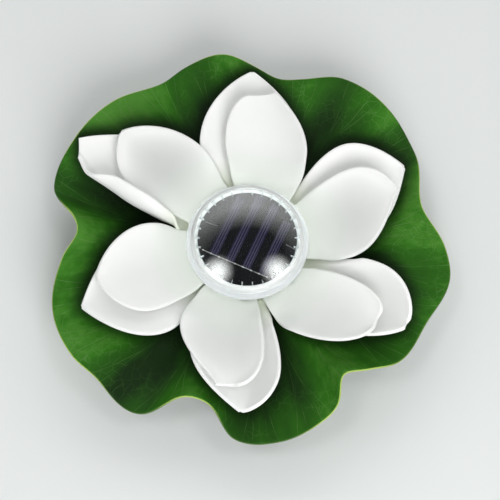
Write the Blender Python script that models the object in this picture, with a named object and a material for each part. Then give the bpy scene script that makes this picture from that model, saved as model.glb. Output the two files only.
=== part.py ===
"""Floating solar lotus light: a sealed lamp pushed into two foam petal sheets and a foam lily pad.

Metres, +Z up. The lamp's axis is Z, and its base stands on z = 0.
"""

import math

import bmesh
import bpy
from mathutils import Matrix, Vector
from mathutils.geometry import interpolate_bezier

# Gaps between pieces
FIT = 0.0003
SLIDE_FIT = 0.0004
PUSH_FIT = 0.0004
FOAM_GAP = 0.0004

# Clear cup
CUP_TOP_RADIUS = 0.0300
CUP_FOOT_RADIUS = 0.0288
CUP_WALL = 0.0020
CUP_DEPTH = 0.0437
CUP_FLANGE_THICKNESS = 0.0020
BOSS_RADIUS = 0.0032
BOSS_LENGTH = 0.0120

# Base and its three screws
BASE_FLOOR = 0.0030
BASE_CHAMFER = 0.0008
SPIGOT_WALL = 0.0018
SPIGOT_HEIGHT = 0.0060
GASKET_THICKNESS = 0.0007
GASKET_WIDTH = 0.0020
SCREW_COUNT = 3
SCREW_CIRCLE = 0.0222
SCREW_SHANK_RADIUS = 0.0013
SCREW_HEAD_RADIUS = 0.0026
SCREW_HEAD_HEIGHT = 0.0016
SCREW_HEAD_RECESS = 0.0005
SCREW_BITE = 0.0080
SLEEVE_RADIUS = 0.0030

# Board and what is on it
BOARD_RADIUS = 0.0186
BOARD_THICKNESS = 0.0016
BOARD_HEIGHT = 0.0160
POST_RADIUS = 0.0024
PIN_RADIUS = 0.0012
PIN_HEAD = 0.0006
POST_PLACES = ((0.0128, -0.0088), (-0.0128, -0.0088), (0.0, 0.0158))
LED_RADIUS = 0.0025
LED_RIM_RADIUS = 0.0029
LED_RIM_HEIGHT = 0.0010
LED_HEIGHT = 0.0086
LED_SPREAD = 0.0095
CHIP_SIZE = (0.0042, 0.0032, 0.0016)
CHIP_PLACE = (0.0, 0.0050)
INDUCTOR_RADIUS = 0.0024
INDUCTOR_HEIGHT = 0.0052
INDUCTOR_WAIST_RADIUS = 0.0019
INDUCTOR_CAP = 0.0010
INDUCTOR_PLACE = (0.0, -0.0065)

# Rechargeable cell, two thirds of AAA length, in its holder
CELL_RADIUS = 0.00525
CELL_LENGTH = 0.0295
CELL_NUB_RADIUS = 0.0019
CELL_NUB_LENGTH = 0.0008
CELL_OFFSET = 0.0066
HOLDER_WALL = 0.0011
HOLDER_SIDE_HEIGHT = 0.0060
CONTACT_THICKNESS = 0.0004
CONTACT_WIDTH = 0.0070
CONTACT_BOW = 0.0014

# Push switch in the base
SWITCH_OFFSET = 0.0126
SWITCH_SIDE = 0.0070
SWITCH_HEIGHT = 0.0064
SWITCH_TRAVEL = 0.0012
PLUNGER_RADIUS = 0.0016
PLUNGER_INSERT = 0.0020
BUTTON_RADIUS = 0.0045
BUTTON_RECESS = 0.0006
BUTTON_FLANGE_WIDTH = 0.0012
BUTTON_FLANGE_THICKNESS = 0.0008

# Solar panel and reflector
REFLECTOR_THICKNESS = 0.0007
REFLECTOR_DEPTH = 0.0062
PANEL_RADIUS = 0.0336
PANEL_THICKNESS = 0.0025
STRIP_COUNT = 4
STRIP_WIDTH = 0.0054
STRIP_PITCH = 0.0120
STRIP_THICKNESS = 0.0003
STRIP_MARGIN = 0.0036
STRIP_TURN = math.radians(63)
RIBBON_WIDTH = 0.0014
RIBBON_THICKNESS = 0.0002
RIBBON_MARGIN = 0.0095
LEAD_RADIUS = 0.0006
LEAD_TOP_RADIUS = 0.0195
LEAD_FOOT_RADIUS = 0.0150
LEAD_ANGLES = (math.radians(38), math.radians(142))

# Clear cover over the panel, with its brim and its ring of inner ribs
COVER_WALL = 0.0020
BRIM_WIDTH = 0.0036
BRIM_THICKNESS = 0.0020
BRIM_CHAMFER = 0.0007
BRIM_LIFT = 0.0005
CROWN_ROUND = 0.0016
DOME_CLEARANCE = 0.0022
DOME_RISE = 0.0055
SEAL_GAP = 0.0008
SEAL_WIDTH = 0.0017
SEAL_HEIGHT = 0.0015
RIB_COUNT = 30
RIB_WIDTH = 0.0007
RIB_LENGTH = 0.0028
RIB_INSET = 0.0002

# Foam petals: two sheets of six, joined in a web round the lamp's hole
PETAL_THICKNESS = 0.0032
WEB_WIDTH = 0.0032
WEB_DROP = 0.0088
BRIM_GAP = 0.0008
PETAL_TIP_WIDTH = 0.0036
PETAL_WIDEST_AT = 0.36
PETAL_CUP_FROM = 0.28
PETAL_LIFT_CURVE = 1.4
INNER_BASE_WIDTH = 0.0420
INNER_WIDTH = 0.0590
INNER_LIFT = 0.0095
INNER_TAPER = 0.58
OUTER_BASE_WIDTH = 0.0340
OUTER_WIDTH = 0.0730
OUTER_LIFT = 0.0085
OUTER_TAPER = 0.70
NEST_MARGIN = 0.0012

# Each petal, counter-clockwise: directions of its root and tip, reach of its tip from the axis,
# cup of its right and left sides in degrees, and extra lift of its tip
INNER_PETALS = (
    (14, 18.5, 0.1085, 20, 36, 0.000),
    (74, 81.5, 0.1095, 40, 30, 0.002),
    (136, 139.0, 0.1165, 34, 55, 0.004),
    (197, 196.5, 0.1065, 50, 14, 0.000),
    (254, 260.5, 0.1055, 26, 40, 0.000),
    (311, 323.0, 0.1090, 34, 50, 0.000),
)
OUTER_PETALS = (
    (28, 26.5, 0.1235, 20, 36, 0.000),
    (88, 88.2, 0.1275, 20, 32, 0.002),
    (148, 149.0, 0.1330, 20, 88, 0.004),
    (207, 203.5, 0.1225, 20, 20, 0.000),
    (268, 267.4, 0.1215, 30, 56, 0.000),
    (328, 328.5, 0.1245, 40, 56, 0.000),
)

# Foam lily pad: rim points as direction and radius, and rim heights over its flat middle
LEAF_THICKNESS = 0.0030
LEAF_FLAT_RADIUS = 0.0500
LEAF_CURVE = 2.2
LEAF_RIM = (
    (0, 0.1363), (14, 0.1250), (30, 0.1385), (46, 0.1465), (62, 0.1465), (72, 0.1360),
    (80, 0.1318), (88, 0.1385), (97, 0.1470), (108, 0.1450), (117, 0.1405), (130, 0.1470),
    (146, 0.1485), (162, 0.1445), (169, 0.1235), (176, 0.1175), (184, 0.1270), (198, 0.1395),
    (213, 0.1415), (223, 0.1388), (234, 0.1420), (240, 0.1375), (246, 0.1205), (252, 0.1160),
    (259, 0.1200), (266, 0.1370), (279, 0.1400), (291, 0.1350), (298, 0.1285), (304, 0.1135),
    (312, 0.1208), (321, 0.1325), (336, 0.1335), (350, 0.1410),
)
LEAF_RIM_HEIGHTS = (
    (0, 0.011), (15, 0.013), (38, 0.008), (60, 0.014), (80, 0.010), (97, 0.018), (117, 0.010),
    (146, 0.014), (163, 0.008), (176, 0.017), (200, 0.009), (225, 0.014), (240, 0.008),
    (252, 0.016), (268, 0.009), (285, 0.012), (304, 0.018), (325, 0.012), (344, 0.008),
)

# Mesh counts
TURN_SIDES = 40
MIDDLE_SIDES = 24
SMALL_SIDES = 16
PETAL_COLUMNS = 6
PETAL_ROWS = 7
PETAL_ROW_BIAS = 1.5
CLIMB_ROWS = 2
WEB_ROWS = 1
NEST_SHARES = (0.0, 0.5, 0.8, 1.0)
NEST_SAMPLES = 8
LEAST_BEND = 0.0001
LEAF_COLUMNS = 72
LEAF_ROWS = 6
DOME_STEPS = 6
BOSS_STEPS = 8
LED_STEPS = 4
LEAD_STEPS = 10
SHARP_ANGLE = math.radians(35)
MERGE_DISTANCE = 1e-6

# Levels of the stack, from the base up
CUP_FOOT_Z = BASE_FLOOR + FIT + GASKET_THICKNESS + FIT
SEAT_Z = CUP_FOOT_Z + CUP_DEPTH
FLANGE_Z = SEAT_Z - CUP_FLANGE_THICKNESS
REFLECTOR_Z = SEAT_Z + FIT
PANEL_Z = REFLECTOR_Z + REFLECTOR_THICKNESS + FIT
PANEL_TOP_Z = PANEL_Z + PANEL_THICKNESS
STRIP_Z = PANEL_TOP_Z + FIT
RIBBON_Z = STRIP_Z + STRIP_THICKNESS + FIT
DOME_EDGE_Z = PANEL_TOP_Z + DOME_CLEARANCE
BRIM_Z = FLANGE_Z + BRIM_LIFT
SEAL_RADIUS = PANEL_RADIUS + SEAL_GAP + SEAL_WIDTH
CROWN_INNER_RADIUS = SEAL_RADIUS + FIT
CROWN_RADIUS = CROWN_INNER_RADIUS + COVER_WALL
BRIM_RADIUS = CROWN_RADIUS + BRIM_WIDTH
CUP_FLANGE_RADIUS = CROWN_INNER_RADIUS - SLIDE_FIT
STRIP_CIRCLE = PANEL_RADIUS - STRIP_MARGIN
RIBBON_OFFSET = STRIP_CIRCLE - RIBBON_MARGIN
BOARD_TOP_Z = BOARD_HEIGHT + BOARD_THICKNESS
BOARD_FIT_Z = BOARD_HEIGHT - FIT
HOLDER_Z = BASE_FLOOR + FIT
CELL_Z = HOLDER_Z + HOLDER_WALL + FIT + CELL_RADIUS
SPIGOT_RADIUS = CUP_FOOT_RADIUS - CUP_WALL - SLIDE_FIT
SLEEVE_TOP_Z = BASE_FLOOR + SPIGOT_HEIGHT
BOSS_Z = SLEEVE_TOP_Z + FIT

# Levels and radii of the foam, hung under the cup's flange
HOLE_RADIUS = CUP_TOP_RADIUS + PUSH_FIT
WEB_RADIUS = HOLE_RADIUS + WEB_WIDTH
INNER_WEB_Z = FLANGE_Z - WEB_DROP - PETAL_THICKNESS / 2
NEST_DISTANCE = PETAL_THICKNESS + FOAM_GAP + NEST_MARGIN
OUTER_WEB_Z = INNER_WEB_Z - NEST_DISTANCE
LEAF_Z = OUTER_WEB_Z - NEST_DISTANCE
INNER_BRIM_Z = BRIM_Z - BRIM_GAP - PETAL_THICKNESS / 2
OUTER_BRIM_Z = INNER_BRIM_Z - NEST_DISTANCE


def clear_scene():
    for old in list(bpy.data.objects):
        bpy.data.objects.remove(old)


def material(name, colour, roughness, metallic=0.0, transmission=0.0):
    made = bpy.data.materials.new(name)
    made.use_nodes = True
    shader = made.node_tree.nodes["Principled BSDF"]
    shader.inputs["Base Color"].default_value = (*colour, 1.0)
    shader.inputs["Roughness"].default_value = roughness
    shader.inputs["Metallic"].default_value = metallic
    shader.inputs["Transmission Weight"].default_value = transmission
    return made


def empty(name, parent=None, location=(0.0, 0.0, 0.0)):
    made = bpy.data.objects.new(name, None)
    made.location = location
    made.parent = parent
    bpy.context.collection.objects.link(made)
    return made


def piece(name, shape, finish, parent, location=(0.0, 0.0, 0.0), turn=0.0):
    """One named sub-part from a finished bmesh, with its faces turned outward."""
    bmesh.ops.recalc_face_normals(shape, faces=shape.faces)
    mesh = bpy.data.meshes.new(name)
    shape.to_mesh(mesh)
    shape.free()
    mesh.shade_smooth()
    mesh.set_sharp_from_angle(angle=SHARP_ANGLE)
    mesh.materials.append(finish)
    made = bpy.data.objects.new(name, mesh)
    made.location = location
    made.rotation_euler.z = turn
    made.parent = parent
    bpy.context.collection.objects.link(made)
    return made


def tool(name, shape, parent):
    """A cutter or an added body, which a Boolean uses and the model leaves out."""
    bmesh.ops.recalc_face_normals(shape, faces=shape.faces)
    mesh = bpy.data.meshes.new(name)
    shape.to_mesh(mesh)
    shape.free()
    made = bpy.data.objects.new(name, mesh)
    made.parent = parent
    made.hide_render = True
    made.display_type = "WIRE"
    bpy.context.collection.objects.link(made)
    return made


def boolean(target, other, operation):
    step = target.modifiers.new(other.name, "BOOLEAN")
    step.operation = operation
    step.solver = "EXACT"
    step.object = other


def spin(shape, profile, centre=(0.0, 0.0), sides=TURN_SIDES, closed=False):
    """Turns a profile of (radius, height) points about a vertical line through centre."""
    points = [shape.verts.new((centre[0] + r, centre[1], z)) for r, z in profile]
    edges = [shape.edges.new(pair) for pair in zip(points, points[1:])]
    if closed:
        edges.append(shape.edges.new((points[-1], points[0])))
    bmesh.ops.spin(
        shape, geom=points + edges, cent=(centre[0], centre[1], 0.0), axis=(0.0, 0.0, 1.0),
        angle=math.tau, steps=sides, use_merge=True,
    )
    bmesh.ops.remove_doubles(shape, verts=shape.verts, dist=MERGE_DISTANCE)


def turned(profile, sides=TURN_SIDES, closed=False):
    shape = bmesh.new()
    spin(shape, profile, sides=sides, closed=closed)
    return shape


def rod(shape, centre, radius, z0, z1, sides=SMALL_SIDES):
    spin(shape, [(0.0, z1), (radius, z1), (radius, z0), (0.0, z0)], centre, sides)


def block(shape, x0, x1, y0, y1, z0, z1):
    size = Matrix.Diagonal((x1 - x0, y1 - y0, z1 - z0, 1.0))
    middle = Matrix.Translation(((x0 + x1) / 2, (y0 + y1) / 2, (z0 + z1) / 2))
    bmesh.ops.create_cube(shape, size=1.0, matrix=middle @ size)


def slab(shape, outline, z0, z1):
    """Extrudes a flat outline of (x, y) points from z0 to z1."""
    face = shape.faces.new([shape.verts.new((x, y, z0)) for x, y in outline])
    raised = bmesh.ops.extrude_face_region(shape, geom=[face])["geom"]
    tops = [v for v in raised if isinstance(v, bmesh.types.BMVert)]
    bmesh.ops.translate(shape, verts=tops, vec=(0.0, 0.0, z1 - z0))


def on_circle(radius, angle):
    return radius * math.cos(angle), radius * math.sin(angle)


def screw_angles():
    return [math.pi / 2 + math.tau * i / SCREW_COUNT for i in range(SCREW_COUNT)]


def smooth_step(t):
    t = min(max(t, 0.0), 1.0)
    return t * t * (3.0 - 2.0 * t)


def around(points, angle):
    """A smooth closed curve through (degrees, value) points, read at an angle in degrees."""
    count = len(points)
    angle = angle % 360.0
    at = max(i for i in range(count) if points[i][0] <= angle)
    before, start, end, after = (points[(at + k) % count] for k in (-1, 0, 1, 2))
    span = (end[0] - start[0]) % 360.0
    t = (angle - start[0]) / span
    slope_in = (end[1] - before[1]) / ((end[0] - before[0]) % 360.0) * span
    slope_out = (after[1] - start[1]) / ((after[0] - start[0]) % 360.0) * span
    return (
        (2 * t**3 - 3 * t**2 + 1) * start[1] + (t**3 - 2 * t**2 + t) * slope_in
        + (3 * t**2 - 2 * t**3) * end[1] + (t**3 - t**2) * slope_out
    )


class Petal:
    """One petal's line in plan, from its root on the brim's circle to its tip, and its cup and lift."""

    def __init__(self, root, tip, reach, cup_right, cup_left, lift):
        self.turn = math.radians(root)
        self.root = Vector(on_circle(BRIM_RADIUS, self.turn))
        line = Vector(on_circle(reach, math.radians(tip))) - self.root
        self.length = line.length
        self.along = line.normalized()
        self.aside = Vector((-self.along.y, self.along.x))
        self.cups = (math.radians(cup_right), math.radians(cup_left))
        self.lift = lift


class PetalSheet:
    """The middle surface of one foam sheet: six cupped petals round a flat web."""

    def __init__(self, petals, base_width, width, taper, web_z, brim_z, lift, above=None):
        self.petals = [Petal(*values) for values in petals]
        self.base_width = base_width
        self.width = width
        self.taper = taper
        self.web_z = web_z
        self.brim_z = brim_z
        self.lift = lift
        self.above = above

    def half_width(self, t):
        """Flat half-width at a share t of the petal's length: an oval with a blunt tip."""
        if t < PETAL_WIDEST_AT:
            grown = math.sin(math.pi / 2 * max(t, 0.0) / PETAL_WIDEST_AT)
            return (self.base_width + (self.width - self.base_width) * grown) / 2
        s = min((t - PETAL_WIDEST_AT) / (1.0 - PETAL_WIDEST_AT), 1.0)
        return (PETAL_TIP_WIDTH + (self.width - PETAL_TIP_WIDTH) * (1.0 - s**2) ** self.taper) / 2

    def floor(self, petal, t, radius):
        """Height of the petal's middle line: it climbs from the web to the brim, then to its tip."""
        climb = smooth_step((radius - WEB_RADIUS) / (BRIM_RADIUS - WEB_RADIUS))
        raised = (self.lift + petal.lift) * max(t, 0.0) ** PETAL_LIFT_CURVE
        return self.web_z + (self.brim_z - self.web_z) * climb + raised

    def bend(self, petal, t, side):
        """Angle through which the petal's side is cupped."""
        return petal.cups[side > 0] * smooth_step(t / PETAL_CUP_FROM)

    def cross(self, petal, t, v):
        """Sideways place and rise over the middle line, at v from -1, right edge, to 1, left edge."""
        half = self.half_width(t)
        bend = self.bend(petal, t, v)
        if bend < LEAST_BEND:
            return half * v, 0.0
        return half / bend * math.sin(bend * v), half / bend * (1.0 - math.cos(bend * v))

    def height_at(self, x, y):
        """Least height of the sheet over a point in plan, or None where it has no petal there."""
        found = []
        spot = Vector((x, y))
        radius = spot.length
        for petal in self.petals:
            t = (spot - petal.root).dot(petal.along) / petal.length
            beside = abs((spot - petal.root).dot(petal.aside))
            if t <= 0.0 and radius < BRIM_RADIUS + self.base_width / 2:
                found.append(self.floor(petal, t, radius))
            half = self.half_width(t)
            if t <= 0.0 or t > 1.0 + PETAL_THICKNESS / petal.length or beside > half + PETAL_THICKNESS:
                continue
            bend = self.bend(petal, t, (spot - petal.root).dot(petal.aside))
            if bend < LEAST_BEND:
                found.append(self.floor(petal, t, radius))
            elif beside * bend < half:
                turned_by = math.asin(beside * bend / half)
                found.append(self.floor(petal, t, radius) + half / bend * (1.0 - math.cos(turned_by)))
        return self.pressed(x, y, min(found)) if found else None

    def pressed(self, x, y, z):
        """The height z, or less where the sheet above presses this one down."""
        return min(z, self.above.ceiling(x, y)) if self.above else z

    def ceiling(self, x, y):
        """Height under which a surface stays at the nesting distance from this one."""
        lowest = math.inf
        for share in NEST_SHARES:
            drop = NEST_DISTANCE * math.sqrt(1.0 - share**2)
            for i in range(NEST_SAMPLES if share else 1):
                dx, dy = on_circle(NEST_DISTANCE * share, math.tau * i / NEST_SAMPLES)
                over = self.height_at(x + dx, y + dy)
                if over is not None:
                    lowest = min(lowest, over - drop)
        return lowest


def petal_mesh(sheet):
    """The sheet's middle surface as one mesh, kept clear of the sheet above it."""
    shape = bmesh.new()
    count = len(sheet.petals)
    steps = [2.0 * j / PETAL_COLUMNS - 1.0 for j in range(PETAL_COLUMNS + 1)]

    def sector(k, v):
        """Half of the angle to the next petal's root on that side."""
        other = sheet.petals[(k + 1) % count if v > 0 else (k - 1) % count]
        apart = (other.turn - sheet.petals[k].turn) * (1 if v > 0 else -1)
        return apart % math.tau / 2

    def place(k, radius, t, v, blend):
        """A point between the web's ring, where blend is 0, and the petal, where it is 1."""
        petal = sheet.petals[k]
        sideways, rise = sheet.cross(petal, t, v)
        ring = Vector(on_circle(radius, petal.turn + v * sector(k, v)))
        x, y = ring.lerp(petal.root + t * petal.length * petal.along + sideways * petal.aside, blend)
        z = sheet.floor(petal, t, math.hypot(x, y)) + rise
        return shape.verts.new((x, y, sheet.pressed(x, y, z)))

    rings = []
    for i in range(WEB_ROWS + 1):
        radius = HOLE_RADIUS + WEB_WIDTH * i / WEB_ROWS
        rings.append([place(k, radius, 0.0, v, 0.0) for k in range(count) for v in steps[:-1]])
    for low, high in zip(rings, rings[1:]):
        for j in range(len(low)):
            n = (j + 1) % len(low)
            shape.faces.new((low[j], low[n], high[n], high[j]))
    climbs = [i / CLIMB_ROWS for i in range(1, CLIMB_ROWS + 1)]
    rise = BRIM_RADIUS - WEB_RADIUS
    shares = [1.0 - (1.0 - i / PETAL_ROWS) ** PETAL_ROW_BIAS for i in range(1, PETAL_ROWS + 1)]
    for k in range(count):
        first = k * PETAL_COLUMNS
        last_row = [rings[-1][(first + j) % len(rings[-1])] for j in range(PETAL_COLUMNS + 1)]
        rows = [[place(k, WEB_RADIUS + rise * c, 0.0, v, c) for v in steps] for c in climbs]
        rows += [[place(k, BRIM_RADIUS, t, v, 1.0) for v in steps] for t in shares]
        for row in rows:
            for j in range(PETAL_COLUMNS):
                shape.faces.new((last_row[j], last_row[j + 1], row[j + 1], row[j]))
            last_row = row
    return shape


def thicken(target, thickness):
    step = target.modifiers.new("Foam", "SOLIDIFY")
    step.thickness = thickness
    step.offset = 0.0
    step.use_even_offset = True
    step.use_quality_normals = True


def leaf_mesh(above):
    """The leaf's middle surface: flat round the lamp, ruffled at the rim, clear of the petals above."""
    shape = bmesh.new()
    rows = []
    for i in range(LEAF_ROWS + 1):
        row = []
        for j in range(LEAF_COLUMNS):
            degrees = 360.0 * j / LEAF_COLUMNS
            rim = around(LEAF_RIM, degrees)
            radius = HOLE_RADIUS + (rim - HOLE_RADIUS) * i / LEAF_ROWS
            risen = max(radius - LEAF_FLAT_RADIUS, 0.0) / (rim - LEAF_FLAT_RADIUS)
            z = LEAF_Z + around(LEAF_RIM_HEIGHTS, degrees) * risen**LEAF_CURVE
            x, y = on_circle(radius, math.radians(degrees))
            row.append(shape.verts.new((x, y, min(z, above.ceiling(x, y)))))
        rows.append(row)
    for low, high in zip(rows, rows[1:]):
        for j in range(LEAF_COLUMNS):
            n = (j + 1) % LEAF_COLUMNS
            shape.faces.new((low[j], low[n], high[n], high[j]))
    return shape


def dome_height(edge_radius, edge_z, radius):
    """Height of a shallow dome at a radius, over an edge of the given radius and height."""
    sphere = (edge_radius**2 + DOME_RISE**2) / (2.0 * DOME_RISE)
    return edge_z + DOME_RISE - sphere + math.sqrt(sphere**2 - radius**2)


def dome_arc(edge_radius, edge_z):
    """Points of the dome, from its crown to its edge."""
    radii = [edge_radius * i / DOME_STEPS for i in range(DOME_STEPS + 1)]
    return [(r, dome_height(edge_radius, edge_z, r)) for r in radii]


def make_flower(parent, finishes):
    inner = PetalSheet(
        INNER_PETALS, INNER_BASE_WIDTH, INNER_WIDTH, INNER_TAPER, INNER_WEB_Z, INNER_BRIM_Z, INNER_LIFT,
    )
    outer = PetalSheet(
        OUTER_PETALS, OUTER_BASE_WIDTH, OUTER_WIDTH, OUTER_TAPER, OUTER_WEB_Z, OUTER_BRIM_Z, OUTER_LIFT,
        above=inner,
    )
    leaf = piece("leaf_pad", leaf_mesh(outer), finishes["leaf"], parent)
    thicken(leaf, LEAF_THICKNESS)
    lower = piece("outer_petals", petal_mesh(outer), finishes["petal"], parent)
    thicken(lower, PETAL_THICKNESS)
    upper = piece("inner_petals", petal_mesh(inner), finishes["petal"], parent)
    thicken(upper, PETAL_THICKNESS)


def make_cup(parent, finishes):
    """Tapered cup with a top flange and three screw bosses on its wall."""
    foot = CUP_FOOT_RADIUS
    cup = piece("housing_cup", turned([
        (CUP_FLANGE_RADIUS, SEAT_Z), (CUP_FLANGE_RADIUS, FLANGE_Z),
        (CUP_TOP_RADIUS, FLANGE_Z), (foot, CUP_FOOT_Z),
        (foot - CUP_WALL, CUP_FOOT_Z), (CUP_TOP_RADIUS - CUP_WALL, SEAT_Z),
    ], closed=True), finishes["clear"], parent)
    bosses = bmesh.new()
    bores = bmesh.new()
    for angle in screw_angles():
        out = Vector(on_circle(1.0, angle))
        side = Vector((-out.y, out.x))
        centre = SCREW_CIRCLE * out
        wall = (foot - CUP_WALL / 2) * out
        half_turn = [math.pi * (0.5 + i / BOSS_STEPS) for i in range(BOSS_STEPS + 1)]
        outline = [centre + BOSS_RADIUS * (math.cos(a) * out + math.sin(a) * side) for a in half_turn]
        outline += [wall - BOSS_RADIUS * side, wall + BOSS_RADIUS * side]
        slab(bosses, outline, BOSS_Z, BOSS_Z + BOSS_LENGTH)
        rod(bores, centre, SCREW_SHANK_RADIUS + FIT, BOSS_Z - BOSS_LENGTH, BOSS_Z + SCREW_BITE + FIT)
    boolean(cup, tool("cup_bosses", bosses, parent), "UNION")
    boolean(cup, tool("cup_bores", bores, parent), "DIFFERENCE")


def make_cover(parent, finishes):
    """Domed cover: a brim, a crown wall, a shallow dome and a ring of ribs inside."""
    inner = dome_arc(CROWN_INNER_RADIUS, DOME_EDGE_Z)
    crown = CROWN_RADIUS
    crown_z = DOME_EDGE_Z + COVER_WALL
    outer = dome_arc(crown - CROWN_ROUND, crown_z)
    brim_top = BRIM_Z + BRIM_THICKNESS
    corner = CROWN_ROUND * (1.0 - math.cos(math.pi / 4))
    side = [
        (crown - corner, crown_z - corner), (crown, crown_z - CROWN_ROUND), (crown, brim_top),
        (BRIM_RADIUS - BRIM_CHAMFER, brim_top), (BRIM_RADIUS, brim_top - BRIM_CHAMFER),
        (BRIM_RADIUS, BRIM_Z), (CROWN_INNER_RADIUS, BRIM_Z),
    ]
    cover = piece("lens_cover", turned(outer + side + inner[::-1]), finishes["clear"], parent)
    ribs = bmesh.new()
    outside = PANEL_RADIUS - RIB_INSET
    inside = outside - RIB_LENGTH
    rib_top = dome_height(CROWN_INNER_RADIUS, DOME_EDGE_Z, inside) + FIT
    for i in range(RIB_COUNT):
        before = len(ribs.verts)
        block(
            ribs, inside, outside, -RIB_WIDTH / 2, RIB_WIDTH / 2,
            PANEL_TOP_Z + FIT, rib_top,
        )
        ribs.verts.ensure_lookup_table()
        turn = Matrix.Rotation(math.tau * i / RIB_COUNT, 4, "Z")
        bmesh.ops.transform(ribs, matrix=turn, verts=ribs.verts[before:])
    boolean(cover, tool("cover_ribs", ribs, parent), "UNION")
    piece("cover_seal", turned([
        (SEAL_RADIUS, REFLECTOR_Z + SEAL_HEIGHT), (SEAL_RADIUS, REFLECTOR_Z),
        (SEAL_RADIUS - SEAL_WIDTH, REFLECTOR_Z), (SEAL_RADIUS - SEAL_WIDTH, REFLECTOR_Z + SEAL_HEIGHT),
    ], closed=True), finishes["seal"], parent)


def make_panel(parent, finishes):
    """Round solar panel: four cell strips and the ribbon that joins them."""
    piece("solar_panel", turned([
        (0.0, PANEL_TOP_Z), (PANEL_RADIUS, PANEL_TOP_Z), (PANEL_RADIUS, PANEL_Z), (0.0, PANEL_Z),
    ]), finishes["panel"], parent)
    for i in range(STRIP_COUNT):
        middle = (i - (STRIP_COUNT - 1) / 2) * STRIP_PITCH
        sides = (middle - STRIP_WIDTH / 2, middle + STRIP_WIDTH / 2)
        ends = [math.sqrt(STRIP_CIRCLE**2 - y**2) for y in sides]
        strip = bmesh.new()
        slab(strip, [
            (-ends[0], sides[0]), (ends[0], sides[0]), (ends[1], sides[1]), (-ends[1], sides[1]),
        ], STRIP_Z, STRIP_Z + STRIP_THICKNESS)
        piece(f"solar_cell_{i + 1}", strip, finishes["cell"], parent, turn=STRIP_TURN)
    reach = (STRIP_COUNT - 1) / 2 * STRIP_PITCH + STRIP_WIDTH / 2
    ribbon = bmesh.new()
    block(
        ribbon, -RIBBON_OFFSET - RIBBON_WIDTH / 2, -RIBBON_OFFSET + RIBBON_WIDTH / 2, -reach, reach,
        RIBBON_Z, RIBBON_Z + RIBBON_THICKNESS,
    )
    piece("bus_ribbon", ribbon, finishes["tin"], parent, turn=STRIP_TURN)


def make_reflector(parent, finishes):
    """White dish under the panel, with a hole for each lead."""
    mouth = CUP_TOP_RADIUS - CUP_WALL - SLIDE_FIT - REFLECTOR_THICKNESS
    rim = PANEL_RADIUS - FIT
    top = REFLECTOR_Z + REFLECTOR_THICKNESS
    dish = piece("reflector_plate", turned([
        (0.0, top - REFLECTOR_DEPTH), (mouth - REFLECTOR_THICKNESS, top), (rim, top), (rim, REFLECTOR_Z),
        (mouth, REFLECTOR_Z), (0.0, REFLECTOR_Z - REFLECTOR_DEPTH),
    ]), finishes["white"], parent)
    holes = bmesh.new()
    for angle in LEAD_ANGLES:
        centre = on_circle(LEAD_TOP_RADIUS, angle)
        rod(holes, centre, LEAD_RADIUS + SLIDE_FIT, REFLECTOR_Z - REFLECTOR_DEPTH - FIT, PANEL_Z)
    boolean(dish, tool("reflector_holes", holes, parent), "DIFFERENCE")


def make_leads(parent, finishes):
    """Two wires from the panel down to the board, each eased off straight ends."""
    for angle, name in zip(LEAD_ANGLES, ("panel_lead_positive", "panel_lead_negative")):
        top = Vector((*on_circle(LEAD_TOP_RADIUS, angle), PANEL_Z - FIT))
        foot = Vector((*on_circle(LEAD_FOOT_RADIUS, angle), BOARD_TOP_Z + FIT))
        drop = Vector((0.0, 0.0, (top.z - foot.z) / 2))
        route = interpolate_bezier(top, top - drop, foot + drop, foot, LEAD_STEPS)
        curve = bpy.data.curves.new(name, "CURVE")
        curve.dimensions = "3D"
        curve.bevel_depth = LEAD_RADIUS
        curve.bevel_resolution = 2
        curve.use_fill_caps = True
        spline = curve.splines.new("POLY")
        spline.points.add(len(route) - 1)
        for point, place in zip(spline.points, route):
            point.co = (*place, 1.0)
        curve.materials.append(finishes["red" if name.endswith("positive") else "black"])
        made = bpy.data.objects.new(name, curve)
        made.parent = parent
        bpy.context.collection.objects.link(made)


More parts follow.
